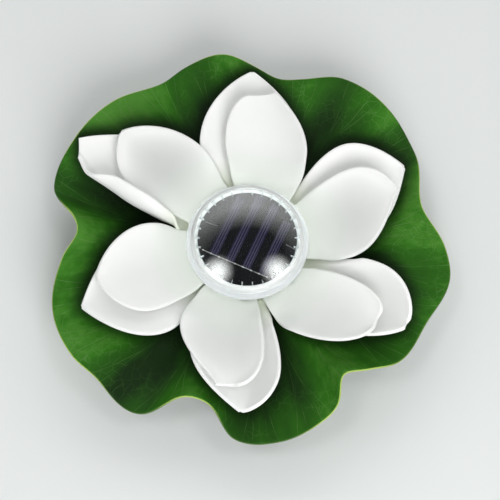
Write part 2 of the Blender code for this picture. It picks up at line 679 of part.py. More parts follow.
def make_base(parent, finishes):
    """Base with a spigot, screw sleeves, board posts and the switch opening."""
    spigot_inner = SPIGOT_RADIUS - SPIGOT_WALL
    base = piece("base_cap", turned([
        (0.0, BASE_FLOOR), (spigot_inner, BASE_FLOOR), (spigot_inner, SLEEVE_TOP_Z),
        (SPIGOT_RADIUS, SLEEVE_TOP_Z), (SPIGOT_RADIUS, BASE_FLOOR), (CUP_FOOT_RADIUS, BASE_FLOOR),
        (CUP_FOOT_RADIUS, BASE_CHAMFER), (CUP_FOOT_RADIUS - BASE_CHAMFER, 0.0), (0.0, 0.0),
    ]), finishes["white"], parent)
    stand = BASE_FLOOR / 2
    sleeves = bmesh.new()
    posts = bmesh.new()
    holes = bmesh.new()
    for angle in screw_angles():
        centre = on_circle(SCREW_CIRCLE, angle)
        rod(sleeves, centre, SLEEVE_RADIUS, stand, SLEEVE_TOP_Z)
        head = SCREW_HEAD_RADIUS + FIT
        shank = SCREW_SHANK_RADIUS + FIT
        seat = SCREW_HEAD_RECESS + SCREW_HEAD_HEIGHT + FIT
        spin(holes, [
            (0.0, SLEEVE_TOP_Z + FIT), (shank, SLEEVE_TOP_Z + FIT), (shank, seat), (head, seat),
            (head, -BASE_FLOOR), (0.0, -BASE_FLOOR),
        ], centre, SMALL_SIDES)
    for centre in POST_PLACES:
        spin(posts, [
            (0.0, BOARD_TOP_Z + PIN_HEAD), (PIN_RADIUS, BOARD_TOP_Z + PIN_HEAD), (PIN_RADIUS, BOARD_FIT_Z),
            (POST_RADIUS, BOARD_FIT_Z), (POST_RADIUS, stand), (0.0, stand),
        ], centre, SMALL_SIDES)
    rod(holes, (0.0, -SWITCH_OFFSET), BUTTON_RADIUS + SLIDE_FIT, -BASE_FLOOR, BASE_FLOOR + FIT)
    boolean(base, tool("base_sleeves", sleeves, parent), "UNION")
    boolean(base, tool("base_posts", posts, parent), "UNION")
    boolean(base, tool("base_holes", holes, parent), "DIFFERENCE")
    piece("base_gasket", turned([
        (CUP_FOOT_RADIUS, BASE_FLOOR + FIT + GASKET_THICKNESS), (CUP_FOOT_RADIUS, BASE_FLOOR + FIT),
        (CUP_FOOT_RADIUS - GASKET_WIDTH, BASE_FLOOR + FIT),
        (CUP_FOOT_RADIUS - GASKET_WIDTH, BASE_FLOOR + FIT + GASKET_THICKNESS),
    ], closed=True), finishes["black"], parent)
    for i, angle in enumerate(screw_angles()):
        low = SCREW_HEAD_RECESS
        neck = low + SCREW_HEAD_HEIGHT
        screw = turned([
            (0.0, BOSS_Z + SCREW_BITE), (SCREW_SHANK_RADIUS, BOSS_Z + SCREW_BITE - SCREW_SHANK_RADIUS),
            (SCREW_SHANK_RADIUS, neck), (SCREW_HEAD_RADIUS, neck), (SCREW_HEAD_RADIUS, low), (0.0, low),
        ], SMALL_SIDES)
        place = (*on_circle(SCREW_CIRCLE, angle), 0.0)
        piece(f"base_screw_{i + 1}", screw, finishes["steel"], parent, place)


def make_board(parent, finishes):
    """Round circuit board on the base's posts, with two lamps, a driver chip and a coil."""
    board = piece("circuit_board", turned([
        (0.0, BOARD_TOP_Z), (BOARD_RADIUS, BOARD_TOP_Z), (BOARD_RADIUS, BOARD_HEIGHT), (0.0, BOARD_HEIGHT),
    ]), finishes["board"], parent)
    holes = bmesh.new()
    for centre in POST_PLACES:
        rod(holes, centre, PIN_RADIUS + FIT, BOARD_HEIGHT - FIT, BOARD_TOP_Z + FIT)
    boolean(board, tool("board_holes", holes, parent), "DIFFERENCE")
    low = BOARD_TOP_Z + FIT
    for i, side in enumerate((-1, 1)):
        neck = low + LED_HEIGHT - LED_RADIUS
        arc = [math.pi / 2 * step / LED_STEPS for step in range(LED_STEPS + 1)]
        round_end = [(LED_RADIUS * math.sin(a), neck + LED_RADIUS * math.cos(a)) for a in arc]
        lamp = turned(round_end + [
            (LED_RADIUS, low + LED_RIM_HEIGHT), (LED_RIM_RADIUS, low + LED_RIM_HEIGHT),
            (LED_RIM_RADIUS, low), (0.0, low),
        ], SMALL_SIDES)
        piece(f"led_{i + 1}", lamp, finishes["led"], parent, (side * LED_SPREAD, 0.0, 0.0))
    chip = bmesh.new()
    half_x, half_y = CHIP_SIZE[0] / 2, CHIP_SIZE[1] / 2
    block(chip, -half_x, half_x, -half_y, half_y, low, low + CHIP_SIZE[2])
    piece("driver_chip", chip, finishes["black"], parent, (*CHIP_PLACE, 0.0))
    cap_low = low + INDUCTOR_CAP
    cap_high = low + INDUCTOR_HEIGHT - INDUCTOR_CAP
    coil = turned([
        (0.0, low + INDUCTOR_HEIGHT), (INDUCTOR_RADIUS, low + INDUCTOR_HEIGHT),
        (INDUCTOR_RADIUS, cap_high), (INDUCTOR_WAIST_RADIUS, cap_high),
        (INDUCTOR_WAIST_RADIUS, cap_low), (INDUCTOR_RADIUS, cap_low), (INDUCTOR_RADIUS, low), (0.0, low),
    ], SMALL_SIDES)
    piece("boost_inductor", coil, finishes["ferrite"], parent, (*INDUCTOR_PLACE, 0.0))


def make_battery(parent, finishes):
    """Cell lying in an open holder, with a contact at each end that rises to the board."""
    half = CELL_LENGTH / 2
    wide = CELL_RADIUS + FIT
    nub = half + CELL_NUB_LENGTH
    inside = nub + FIT + CONTACT_BOW + CONTACT_THICKNESS + FIT
    high = CELL_Z + CELL_RADIUS / 2
    holder = bmesh.new()
    slab(holder, [
        (-inside - HOLDER_WALL, -wide - HOLDER_WALL), (inside + HOLDER_WALL, -wide - HOLDER_WALL),
        (inside + HOLDER_WALL, wide + HOLDER_WALL), (-inside - HOLDER_WALL, wide + HOLDER_WALL),
    ], HOLDER_Z, high)
    tray = piece("battery_holder", holder, finishes["black"], parent, (0.0, CELL_OFFSET, 0.0))
    hollow = bmesh.new()
    block(hollow, -inside, inside, -wide, wide, HOLDER_Z + HOLDER_WALL, high + HOLDER_WALL)
    cutter = tool("holder_hollow", hollow, parent)
    cutter.location.y = CELL_OFFSET
    boolean(tray, cutter, "DIFFERENCE")
    sides = bmesh.new()
    side_top = HOLDER_Z + HOLDER_SIDE_HEIGHT
    block(
        sides, -half, half, -wide - 2 * HOLDER_WALL, wide + 2 * HOLDER_WALL,
        side_top, high + 2 * HOLDER_WALL,
    )
    cutter = tool("holder_sides", sides, parent)
    cutter.location.y = CELL_OFFSET
    boolean(tray, cutter, "DIFFERENCE")
    cell = turned([
        (0.0, nub), (CELL_NUB_RADIUS, nub), (CELL_NUB_RADIUS, half), (CELL_RADIUS - FIT, half),
        (CELL_RADIUS, half - FIT), (CELL_RADIUS, FIT - half), (CELL_RADIUS - FIT, -half), (0.0, -half),
    ], MIDDLE_SIDES)
    lay_down = Matrix.Rotation(math.pi / 2, 3, "Y")
    bmesh.ops.rotate(cell, verts=cell.verts, cent=(0.0, 0.0, 0.0), matrix=lay_down)
    piece("battery_cell", cell, finishes["cell_wrap"], parent, (0.0, CELL_OFFSET, CELL_Z))
    outside = inside - FIT
    foot = HOLDER_Z + HOLDER_WALL + FIT
    for name, side, tip in (("positive", 1, nub), ("negative", -1, half)):
        contact = bmesh.new()
        face = tip + FIT
        bow_low = CELL_Z - CELL_RADIUS / 2
        bow_high = CELL_Z + CELL_RADIUS / 2
        back = outside - CONTACT_THICKNESS
        line = [(outside, foot), (outside, BOARD_FIT_Z), (back, BOARD_FIT_Z), (back, bow_high)]
        line += [(face, CELL_Z), (back, bow_low), (back, foot)]
        points = [contact.verts.new((side * x, -CONTACT_WIDTH / 2, z)) for x, z in line]
        strip = contact.faces.new(points)
        moved = bmesh.ops.extrude_face_region(contact, geom=[strip])["geom"]
        ends = [v for v in moved if isinstance(v, bmesh.types.BMVert)]
        bmesh.ops.translate(contact, verts=ends, vec=(0.0, CONTACT_WIDTH, 0.0))
        piece(f"battery_contact_{name}", contact, finishes["steel"], parent, (0.0, CELL_OFFSET, 0.0))


def make_switch(parent, button, finishes):
    """Latching switch under the board, its plunger, and the soft button under it in the base."""
    top = BOARD_FIT_Z
    foot = top - SWITCH_HEIGHT
    body = bmesh.new()
    half = SWITCH_SIDE / 2
    block(body, -half, half, -half, half, foot, top)
    made = piece("switch_body", body, finishes["black"], parent, (0.0, -SWITCH_OFFSET, 0.0))
    bore = bmesh.new()
    depth = foot + PLUNGER_INSERT + SWITCH_TRAVEL + FIT
    rod(bore, (0.0, -SWITCH_OFFSET), PLUNGER_RADIUS + SLIDE_FIT, foot - SWITCH_HEIGHT, depth)
    boolean(made, tool("switch_bore", bore, parent), "DIFFERENCE")
    flange = BUTTON_RADIUS + BUTTON_FLANGE_WIDTH
    flange_z = BASE_FLOOR + FIT
    flange_top = flange_z + BUTTON_FLANGE_THICKNESS
    piece("switch_boot", turned([
        (0.0, flange_top), (flange, flange_top), (flange, flange_z), (BUTTON_RADIUS, flange_z),
        (BUTTON_RADIUS, BUTTON_RECESS + FIT), (BUTTON_RADIUS - FIT, BUTTON_RECESS), (0.0, BUTTON_RECESS),
    ], MIDDLE_SIDES), finishes["soft"], button)
    low = flange_top + FIT
    high = foot + PLUNGER_INSERT
    piece("switch_plunger", turned([
        (0.0, high), (PLUNGER_RADIUS, high), (PLUNGER_RADIUS, low), (0.0, low),
    ], SMALL_SIDES), finishes["white"], button)


def make_finishes():
    return {
        "leaf": material("Leaf foam", (0.045, 0.16, 0.03), 0.62),
        "petal": material("Petal foam", (0.86, 0.88, 0.88), 0.55),
        "clear": material("Clear plastic", (0.93, 0.97, 0.97), 0.06, transmission=0.95),
        "white": material("White plastic", (0.85, 0.86, 0.85), 0.4),
        "seal": material("White seal", (0.88, 0.9, 0.89), 0.5),
        "panel": material("Panel resin", (0.012, 0.012, 0.014), 0.12),
        "cell": material("Silicon strip", (0.05, 0.04, 0.09), 0.25),
        "tin": material("Tinned ribbon", (0.75, 0.75, 0.74), 0.3, metallic=1.0),
        "steel": material("Plated steel", (0.62, 0.62, 0.6), 0.3, metallic=1.0),
        "board": material("Board", (0.03, 0.2, 0.07), 0.45),
        "led": material("Lamp resin", (0.95, 0.93, 0.82), 0.1, transmission=0.6),
        "ferrite": material("Ferrite", (0.07, 0.07, 0.07), 0.6),
        "cell_wrap": material("Cell wrap", (0.05, 0.32, 0.12), 0.3),
        "soft": material("Silicone", (0.35, 0.36, 0.37), 0.6),
        "black": material("Black plastic", (0.02, 0.02, 0.02), 0.45),
        "red": material("Red wire", (0.55, 0.03, 0.02), 0.4),
    }


def main():
    clear_scene()
    finishes = make_finishes()
    flower = empty("flower")
    lamp = empty("lamp", flower)
    button = empty("switch_button", lamp, (0.0, -SWITCH_OFFSET, 0.0))
    make_flower(flower, finishes)
    make_cup(lamp, finishes)
    make_cover(lamp, finishes)
    make_panel(lamp, finishes)
    make_reflector(lamp, finishes)
    make_leads(lamp, finishes)
    make_base(lamp, finishes)
    make_board(lamp, finishes)
    make_battery(lamp, finishes)
    make_switch(lamp, button, finishes)


main()
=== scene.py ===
# %% [markdown]
# # A floating solar lotus light
#
# The real light is a sealed lamp pushed into two foam petal sheets and a foam lily pad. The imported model
# already holds every piece at its real size and place. This lesson gives the pieces their surfaces: foam
# with rounded rims, a veined leaf, clear plastic, and the solar disc under its dome.

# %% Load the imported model
import math
from contextlib import contextmanager
from types import SimpleNamespace

import bpy
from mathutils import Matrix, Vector
from mathutils.bvhtree import BVHTree


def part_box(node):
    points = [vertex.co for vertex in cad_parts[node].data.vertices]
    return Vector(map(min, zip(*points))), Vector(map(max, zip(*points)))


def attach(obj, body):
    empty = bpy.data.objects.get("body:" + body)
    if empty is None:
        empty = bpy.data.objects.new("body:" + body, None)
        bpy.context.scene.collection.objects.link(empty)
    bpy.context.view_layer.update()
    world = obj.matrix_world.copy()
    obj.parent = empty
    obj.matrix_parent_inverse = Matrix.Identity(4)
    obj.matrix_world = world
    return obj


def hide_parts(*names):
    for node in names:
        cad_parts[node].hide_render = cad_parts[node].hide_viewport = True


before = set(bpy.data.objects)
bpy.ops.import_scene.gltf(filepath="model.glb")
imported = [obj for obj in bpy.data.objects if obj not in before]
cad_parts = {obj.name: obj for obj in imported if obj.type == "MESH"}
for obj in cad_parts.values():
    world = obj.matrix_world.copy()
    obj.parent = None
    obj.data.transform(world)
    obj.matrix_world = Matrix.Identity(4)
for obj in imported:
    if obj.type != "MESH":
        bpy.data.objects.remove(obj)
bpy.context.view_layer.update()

# %% [markdown]
# ## Small helpers
#
# Operators act on whatever is selected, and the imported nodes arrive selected. So each step first selects
# one piece alone. These helpers keep that habit in one place.

# %% Selecting, naming and finishing a piece
MERGE_DISTANCE = 0.00001
SMOOTH_ANGLE = math.radians(40)


def only(piece):
    """Selects one object alone and makes it the active one."""
    bpy.ops.object.select_all(action="DESELECT")
    piece.select_set(True)
    bpy.context.view_layer.objects.active = piece


def named(name):
    """Names the object that an operator has just added."""
    piece = bpy.context.object
    piece.name = name
    piece.data.name = name
    return piece


def modify(piece, kind, **values):
    """Adds one modifier, sets its values and applies it."""
    step = piece.modifiers.new(kind, kind)
    for key, value in values.items():
        setattr(step, key, value)
    only(piece)
    bpy.ops.object.modifier_apply(modifier=step.name)


@contextmanager
def editing(piece):
    """Opens a piece in edit mode, with all of it selected."""
    only(piece)
    bpy.ops.object.mode_set(mode="EDIT")
    bpy.ops.mesh.select_all(action="SELECT")
    yield
    bpy.ops.object.mode_set(mode="OBJECT")


def clean(piece):
    """Merges points that meet, and turns the faces outwards."""
    with editing(piece):
        bpy.ops.mesh.remove_doubles(threshold=MERGE_DISTANCE)
        bpy.ops.mesh.normals_make_consistent(inside=False)


def smooth(piece):
    """Shades a piece smooth and keeps its sharp edges."""
    only(piece)
    bpy.ops.object.shade_smooth_by_angle(angle=SMOOTH_ANGLE)


def joined(name, pieces):
    """Joins some pieces into one."""
    only(pieces[0])
    for piece in pieces:
        piece.select_set(True)
    bpy.ops.object.join()
    return named(name)


def dress(piece, finish, body, slot, *nodes):
    """Gives a piece its finish, the body that carries it, and the nodes that it stands for."""
    piece.data.materials.clear()
    piece.data.materials.append(finish)
    settle(piece, body, slot, *nodes)


def settle(piece, body, slot, *nodes):
    """Hangs a piece on the body that carries it, and hides the nodes that it stands for. Its slot is not
    used.
    """
    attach(piece, body)
    if nodes:
        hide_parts(*nodes)
    print(piece.name, "rides on", body, "with", len(piece.data.polygons), "faces")


# %% [markdown]
# ## Shader helpers
#
# A finish is a Principled shader whose colour, roughness and bump come from a few procedural nodes. One
# helper adds a node and links or sets its inputs, so that each finish below reads as a short recipe.

# %% Adding shader nodes
NOISE_SPAN = (0.3, 0.7)


def plain_finish(name, colour, roughness, **sockets):
    """A Principled shader of one colour. A socket's spaces are written as underscores."""
    finish = bpy.data.materials.new(name)
    finish.use_nodes = True
    shader = finish.node_tree.nodes["Principled BSDF"]
    shader.inputs["Base Color"].default_value = (*colour, 1.0)
    shader.inputs["Roughness"].default_value = roughness
    for socket, value in sockets.items():
        shader.inputs[socket.replace("_", " ")].default_value = value
    return finish


def add(finish, kind, inputs, **settings):
    """Adds one shader node. An input is a plain value, or the output of another node."""
    node = finish.node_tree.nodes.new("ShaderNode" + kind)
    for key, value in settings.items():
        setattr(node, key, value)
    for key, value in inputs.items():
        if isinstance(value, bpy.types.NodeSocket):
            finish.node_tree.links.new(value, node.inputs[key])
        else:
            node.inputs[key].default_value = value
    return node


def calc(finish, operation, a, b=0.0, c=0.0):
    return add(finish, "Math", {0: a, 1: b, 2: c}, operation=operation).outputs[0]


def coordinates(finish, kind):
    return add(finish, "TexCoord", {}).outputs[kind]


def noise(finish, place, scale, detail=2.0):
    return add(finish, "TexNoise", {"Vector": place, "Scale": scale, "Detail": detail}).outputs["Fac"]


def spread(finish, value, low, high, to_low=0.0, to_high=1.0):
    """Maps a range of values onto another range, held at its ends."""
    ends = {"Value": value, "From Min": low, "From Max": high, "To Min": to_low, "To Max": to_high}
    return add(finish, "MapRange", ends).outputs["Result"]


def varied(finish, grain, low, high):
    """Turns a noise into values from low to high."""
    return spread(finish, grain, *NOISE_SPAN, low, high)


def mixed(finish, share, first, second):
    """Mixes two colours."""
    node = add(finish, "Mix", {0: share}, data_type="RGBA")
    for socket, colour in ((node.inputs[6], first), (node.inputs[7], second)):
        if isinstance(colour, bpy.types.NodeSocket):
            finish.node_tree.links.new(colour, socket)
        else:
            socket.default_value = (*colour, 1.0)
    return node.outputs[2]


def write_attribute(piece, name, values):
    """Keeps one number for each point of a piece, for its finish to read."""
    layer = piece.data.attributes.new(name, "FLOAT", "POINT")
    layer.data.foreach_set("value", values)


def read_attribute(finish, name):
    return add(finish, "Attribute", {}, attribute_name=name).outputs["Fac"]


def feed(finish, socket, value):
    """Links a value to one of the shader's sockets."""
    shader = finish.node_tree.nodes["Principled BSDF"]
    finish.node_tree.links.new(value, shader.inputs[socket])


def bump(finish, height, distance):
    node = add(finish, "Bump", {"Height": height, "Distance": distance})
    feed(finish, "Normal", node.outputs["Normal"])


# %% [markdown]
# ## Camera, light and floor
#
# The photograph looks down on the flower from about 69 degrees above the horizon, with a long lens. One
# softbox lights the petals from the front. The room's light is a single shader: two bright patches overhead
# make the pair of highlights on the dome, and a bright band at the back makes the grey gradient on the far
# half of the disc.

# %% Camera
VIEW_CENTRE = Vector((0.0, 0.0, 0.029))
VIEW_ELEVATION = math.radians(69)
VIEW_DISTANCE = 1.1
LENS = 113.95
SHIFT = (0.0054, 0.0020)


def add_camera():
    away = Vector((0.0, -math.cos(VIEW_ELEVATION), math.sin(VIEW_ELEVATION)))
    bpy.ops.object.camera_add(location=VIEW_CENTRE + VIEW_DISTANCE * away)
    camera = named("camera")
    camera.rotation_euler.x = math.pi / 2 - VIEW_ELEVATION
    camera.data.lens = LENS
    camera.data.shift_x, camera.data.shift_y = SHIFT
    bpy.context.scene.camera = camera
    return camera


print("camera at", tuple(add_camera().location))

# %% Floor and front softbox
FLOOR_SIZE = 12.0
FLOOR_COLOUR = (0.78, 0.80, 0.80)
FRONT_DISTANCE = 2.2
FRONT_SIZE = 1.5
FRONT_POWER = 33.0
FRONT_DIRECTION = Vector((0.22, -0.77, 0.60))


def add_floor():
    bpy.ops.mesh.primitive_plane_add(size=FLOOR_SIZE)
    floor = named("floor")
    floor.data.materials.append(plain_finish("Pale floor", FLOOR_COLOUR, roughness=0.6))


def add_softbox(name, direction, distance, size, power):
    bpy.ops.object.light_add(type="AREA", location=VIEW_CENTRE + distance * direction)
    light = named(name)
    light.rotation_euler = direction.to_track_quat("Z", "Y").to_euler()
    light.data.shape = "DISK"
    light.data.size = size
    light.data.energy = power


add_floor()
add_softbox("front_softbox", FRONT_DIRECTION, FRONT_DISTANCE, FRONT_SIZE, FRONT_POWER)
print("front softbox at", FRONT_DISTANCE, "m")

# %% Room light
ROOM_COLOUR = (0.985, 1.0, 0.985, 1.0)
ZENITH_LIGHT = 0.03
ROOM_LIGHT = 0.36
BACK_LIGHT = 1.45
DARK_ABOVE = 0.90
BRIGHT_BELOW = 0.74
BACK_FROM = 0.10
BACK_FULL = 0.55
BACK_NONE_BELOW = 0.30
BACK_FULL_ABOVE = 0.52
BACK_MIDDLE = 0.10
BACK_SIDE = 0.55
BACK_SIDE_SHARE = 0.45
OVERHEAD_LIGHT = 8.0
OVERHEAD_EDGE = math.cos(math.radians(13))
OVERHEAD_FALL = 3.0
OVERHEAD_DIRECTIONS = ((-0.332, -0.050, 0.942), (0.333, -0.034, 0.942))


def add_room():
    world = bpy.data.worlds.new("Room")
    bpy.context.scene.world = world
    world.use_nodes = True
    way = add(world, "SeparateXYZ", {"Vector": coordinates(world, "Generated")})
    shade = world.node_tree.nodes["Background"]
    shade.inputs["Color"].default_value = ROOM_COLOUR
    low = spread(world, way.outputs["Z"], BRIGHT_BELOW, DARK_ABOVE, 1.0, 0.0)
    high = spread(world, way.outputs["Z"], BACK_NONE_BELOW, BACK_FULL_ABOVE)
    back = spread(world, way.outputs["Y"], BACK_FROM, BACK_FULL, 0.0, BACK_LIGHT)
    aside = calc(world, "ABSOLUTE", way.outputs["X"])
    middle = spread(world, aside, BACK_MIDDLE, BACK_SIDE, 1.0, BACK_SIDE_SHARE)
    round_about = calc(world, "MULTIPLY_ADD", calc(world, "MULTIPLY", high, middle), back, ROOM_LIGHT)
    light = calc(world, "MULTIPLY_ADD", low, round_about, ZENITH_LIGHT)
    for direction in OVERHEAD_DIRECTIONS:
        towards = {0: coordinates(world, "Generated"), 1: direction}
        near = add(world, "VectorMath", towards, operation="DOT_PRODUCT").outputs["Value"]
        glow = calc(world, "POWER", spread(world, near, OVERHEAD_EDGE, 1.0), OVERHEAD_FALL)
        light = calc(world, "MULTIPLY_ADD", glow, OVERHEAD_LIGHT, light)
    world.node_tree.links.new(light, shade.inputs["Strength"])


add_room()
bpy.context.scene.view_settings.view_transform = "Standard"
print("room light from", ZENITH_LIGHT, "to", ROOM_LIGHT)

# %% [markdown]
# ## Petal sheets
#
# Each white sheet is one piece of foam, cut as six petals round a web and pressed hot into cups. A flat
# grid is added for each petal and its points are moved by one formula: an oval that grows from a root on
# the brim's circle, cupped across its width and lifted towards its tip. One petal has a side that is rolled
# over. The six grids are joined and merged at the web, given the foam's thickness, and subdivided once,
# which rounds the cut rim as hot foam does.

# %% Petal sizes
PETAL_THICKNESS = 0.0032
NEST_DISTANCE = 0.0048
PETAL_CUP_FROM = 0.28
PETAL_LIFT_CURVE = 1.4
HOLE_RADIUS = 0.0304
WEB_RADIUS = 0.0336
BRIM_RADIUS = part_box("lens_cover")[1].x
BRIM_GAP = 0.0008
INNER_WEB_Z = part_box("inner_petals")[0].z + PETAL_THICKNESS / 2
OUTER_WEB_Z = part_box("outer_petals")[0].z + PETAL_THICKNESS / 2
INNER_BRIM_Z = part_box("lens_cover")[0].z - BRIM_GAP - PETAL_THICKNESS / 2
OUTER_BRIM_Z = INNER_BRIM_Z - NEST_DISTANCE


def side(cup, taper, full=1.0, widest=0.36, flat=0.0):
    """One side of a petal: its cup in degrees, a taper that draws the tip to a corner where it is near 1,
    its width as a share of the sheet's, where it is widest, and the share of its width that stays flat.
    Only a side that is rolled over has a flat share."""
    return SimpleNamespace(cup=math.radians(cup), taper=taper, full=full, widest=widest, flat=flat)


# Each petal, counter-clockwise: directions of its root and tip in degrees, reach of its tip from the axis,
# extra lift, width and slant of its tip, and its right and left sides
INNER_PETALS = (
    (14, 18.5, 0.1085, 0.000, 0.0010, 0.0, side(20, 1.17, 1.14, 0.34), side(36, 0.52, 0.95, 0.57)),
    (74, 84.0, 0.1062, 0.003, 0.0200, -0.10, side(40, 1.10, 1.10, 0.35), side(30, 0.58, 0.95, 0.50)),
    (136, 139.0, 0.1165, 0.004, 0.0010, 0.0, side(34, 0.75, 1.03), side(12, 0.80, 0.84, 0.62)),
    (197, 196.5, 0.1056, 0.000, 0.0010, 0.0, side(50, 0.80, 1.08), side(14, 0.66, 1.07, 0.52)),
    (253, 262.5, 0.1060, 0.001, 0.0150, 0.0, side(26, 1.50, 1.13, 0.33), side(40, 0.45, 0.90, 0.62)),
    (311, 325.8, 0.1050, 0.000, 0.0100, 0.0, side(34, 0.50, 1.12, 0.30), side(44, 0.45, 0.72, 0.50)),
)
OUTER_PETALS = (
    (28, 26.5, 0.1220, 0.000, 0.0010, 0.0, side(20, 1.05, 0.98, 0.40), side(36, 0.85, 0.955, 0.55)),
    (88, 88.2, 0.1275, 0.002, 0.0020, 0.0, side(20, 0.98), side(32, 0.85, 1.03)),
    (148, 150.2, 0.1350, 0.004, 0.0130, -0.62, side(20, 1.06), side(167, 1.05, 1.01, 0.40, 0.20)),
    (207, 203.2, 0.1212, 0.000, 0.0010, 0.0, side(20, 1.00), side(20, 0.90, 1.05, 0.42)),
    (268, 267.9, 0.1205, 0.000, 0.0010, 0.0, side(30, 1.02, 1.03, 0.42), side(56, 0.53, 0.81, 0.64)),
    (328, 330.4, 0.1226, 0.000, 0.0060, 0.0, side(40, 0.80, 0.86), side(56, 0.60, 0.895, 0.60)),
)
# How dark the painted shade in the middle of each petal's hollow is, in the same order
INNER_HOLLOW_SHADES = (0.62, 0.00, 0.85, 0.18, 0.55, 0.32)
OUTER_HOLLOW_SHADES = (0.00, 0.00, 0.00, 0.40, 0.24, 0.66)
INNER = SimpleNamespace(
    base_width=0.0420, width=0.0590, lift=0.0115, web_z=INNER_WEB_Z, brim_z=INNER_BRIM_Z,
    hollow_shades=INNER_HOLLOW_SHADES, hollow_middle=0.45,
)
OUTER = SimpleNamespace(
    base_width=0.0340, width=0.0730, lift=0.0100, web_z=OUTER_WEB_Z, brim_z=OUTER_BRIM_Z,
    hollow_shades=OUTER_HOLLOW_SHADES, hollow_middle=0.72,
)
print("inner web at", round(INNER_WEB_Z, 4), "outer web at", round(OUTER_WEB_Z, 4))

# %% Petal formula
LEAST_BEND = 0.0001
SLANT_CURVE = 8
# A side that is rolled over: where its bend is full, where it opens again and by how much, the flat part
# beside its root, where it is free of the sheet above, and how dark and wide its wall's painted shade is
ROLL_FROM = 0.12
ROLL_UNTIL = 0.56
ROLL_OPENS = 0.74
ROLL_ROOT_FLAT = 0.18
ROLL_ROOT_UNTIL = 0.35
ROLL_FREE = 0.6
ROLL_SHADE = 0.30
ROLL_SHADE_SPREAD = 0.3


def on_circle(radius, angle):
    return Vector((radius * math.cos(angle), radius * math.sin(angle)))


def smooth_step(t):
    t = min(max(t, 0.0), 1.0)
    return t * t * (3.0 - 2.0 * t)


def petal_line(root, tip, reach, extra_lift, tip_width, slant, right, left):
    """A petal's line in plan, from its root to its tip, with its lift, tip and two sides."""
    turn = math.radians(root)
    start = on_circle(BRIM_RADIUS, turn)
    line = on_circle(reach, math.radians(tip)) - start
    along = line.normalized()
    return SimpleNamespace(
        turn=turn, start=start, length=line.length, along=along, aside=Vector((-along.y, along.x)),
        sides=(right, left), extra_lift=extra_lift, tip_width=tip_width, slant=slant,
    )


def half_width(sheet, petal, side, t):
    """Flat half-width of one side at a share t of the petal's length: an oval with a blunt tip."""
    base = sheet.base_width * side.full
    width = sheet.width * side.full
    if t < side.widest:
        grown = math.sin(math.pi / 2 * t / side.widest)
        return (base + (width - base) * grown) / 2
    s = min((t - side.widest) / (1.0 - side.widest), 1.0)
    return (petal.tip_width + (width - petal.tip_width) * (1.0 - s**2) ** side.taper) / 2


def cross_section(sheet, petal, t, across):
    """Sideways place and rise over the middle line, at across from -1, right edge, to 1, left edge."""
    side = petal.sides[across > 0]
    half = half_width(sheet, petal, side, t)
    bend = side.cup * smooth_step(t / (ROLL_FROM if side.flat else PETAL_CUP_FROM))
    flat = half * side.flat
    if side.flat:
        bend *= 1.0 - ROLL_OPENS * smooth_step((t - ROLL_UNTIL) / (1.0 - ROLL_UNTIL))
        flat += half * ROLL_ROOT_FLAT * (1.0 - smooth_step(t / ROLL_ROOT_UNTIL))
    curved = half * abs(across) - flat
    if bend < LEAST_BEND or curved < 0.0:
        return half * across, 0.0
    bow = (half - flat) / bend
    sideways = flat + bow * math.sin(curved / bow)
    return math.copysign(sideways, across), bow * (1.0 - math.cos(curved / bow))


def petal_point(sheet, petal, sector, radius, t, across, blend):
    """A point between the web's ring, where blend is 0, and the petal, where it is 1."""
    sideways, rise = cross_section(sheet, petal, t, across)
    ring = on_circle(radius, petal.turn + across * sector)
    outwards = t * petal.length + petal.slant * sideways * t**SLANT_CURVE
    flat = ring.lerp(petal.start + outwards * petal.along + sideways * petal.aside, blend)
    climb = smooth_step((flat.length - WEB_RADIUS) / (BRIM_RADIUS - WEB_RADIUS))
    lifted = (sheet.lift + petal.extra_lift) * t**PETAL_LIFT_CURVE
    return Vector((*flat, sheet.web_z + (sheet.brim_z - sheet.web_z) * climb + lifted + rise))


# %% Keeping a sheet clear of the sheet above it
NEST_SHARES = (0.0, 0.25, 0.5, 0.7, 0.87, 1.0)
NEST_DIRECTIONS = 16
UP = Vector((0.0, 0.0, 1.0))


def surface_tree(piece):
    """A search tree of a piece's faces, for finding what lies straight above a point."""
    points = [vertex.co for vertex in piece.data.vertices]
    return BVHTree.FromPolygons(points, [list(face.vertices) for face in piece.data.polygons])


def pressed(point, above, distance):
    """The point, or a lower one where a ball of that radius would touch the sheet above."""
    for share in NEST_SHARES:
        drop = distance * math.sqrt(1.0 - share**2)
        for i in range(NEST_DIRECTIONS if share else 1):
            beside = on_circle(distance * share, math.tau * i / NEST_DIRECTIONS)
            start = Vector((point.x + beside.x, point.y + beside.y, 0.0))
            hit = above.ray_cast(start, UP)[0]
            if hit is not None:
                point.z = min(point.z, hit.z - drop)
    return point


# %% Shape the two sheets
PETAL_COLUMNS = 24
WEB_ROWS = 2
CLIMB_ROWS = 6
PETAL_ROWS = 34
ROW_BIAS = 1.5
FOAM_THICKNESS = 0.0026
PETAL_NEST = 0.0034
HOLLOW_SHADE_SPREAD = 2.1


def grid_share(row):
    """Radius, share of the petal's length, and blend for one row of a petal's grid."""
    if row <= WEB_ROWS:
        return HOLE_RADIUS + (WEB_RADIUS - HOLE_RADIUS) * row / WEB_ROWS, 0.0, 0.0
    if row <= WEB_ROWS + CLIMB_ROWS:
        blend = (row - WEB_ROWS) / CLIMB_ROWS
        return WEB_RADIUS + (BRIM_RADIUS - WEB_RADIUS) * blend, 0.0, blend
    share = (row - WEB_ROWS - CLIMB_ROWS) / PETAL_ROWS
    return BRIM_RADIUS, 1.0 - (1.0 - share) ** ROW_BIAS, 1.0


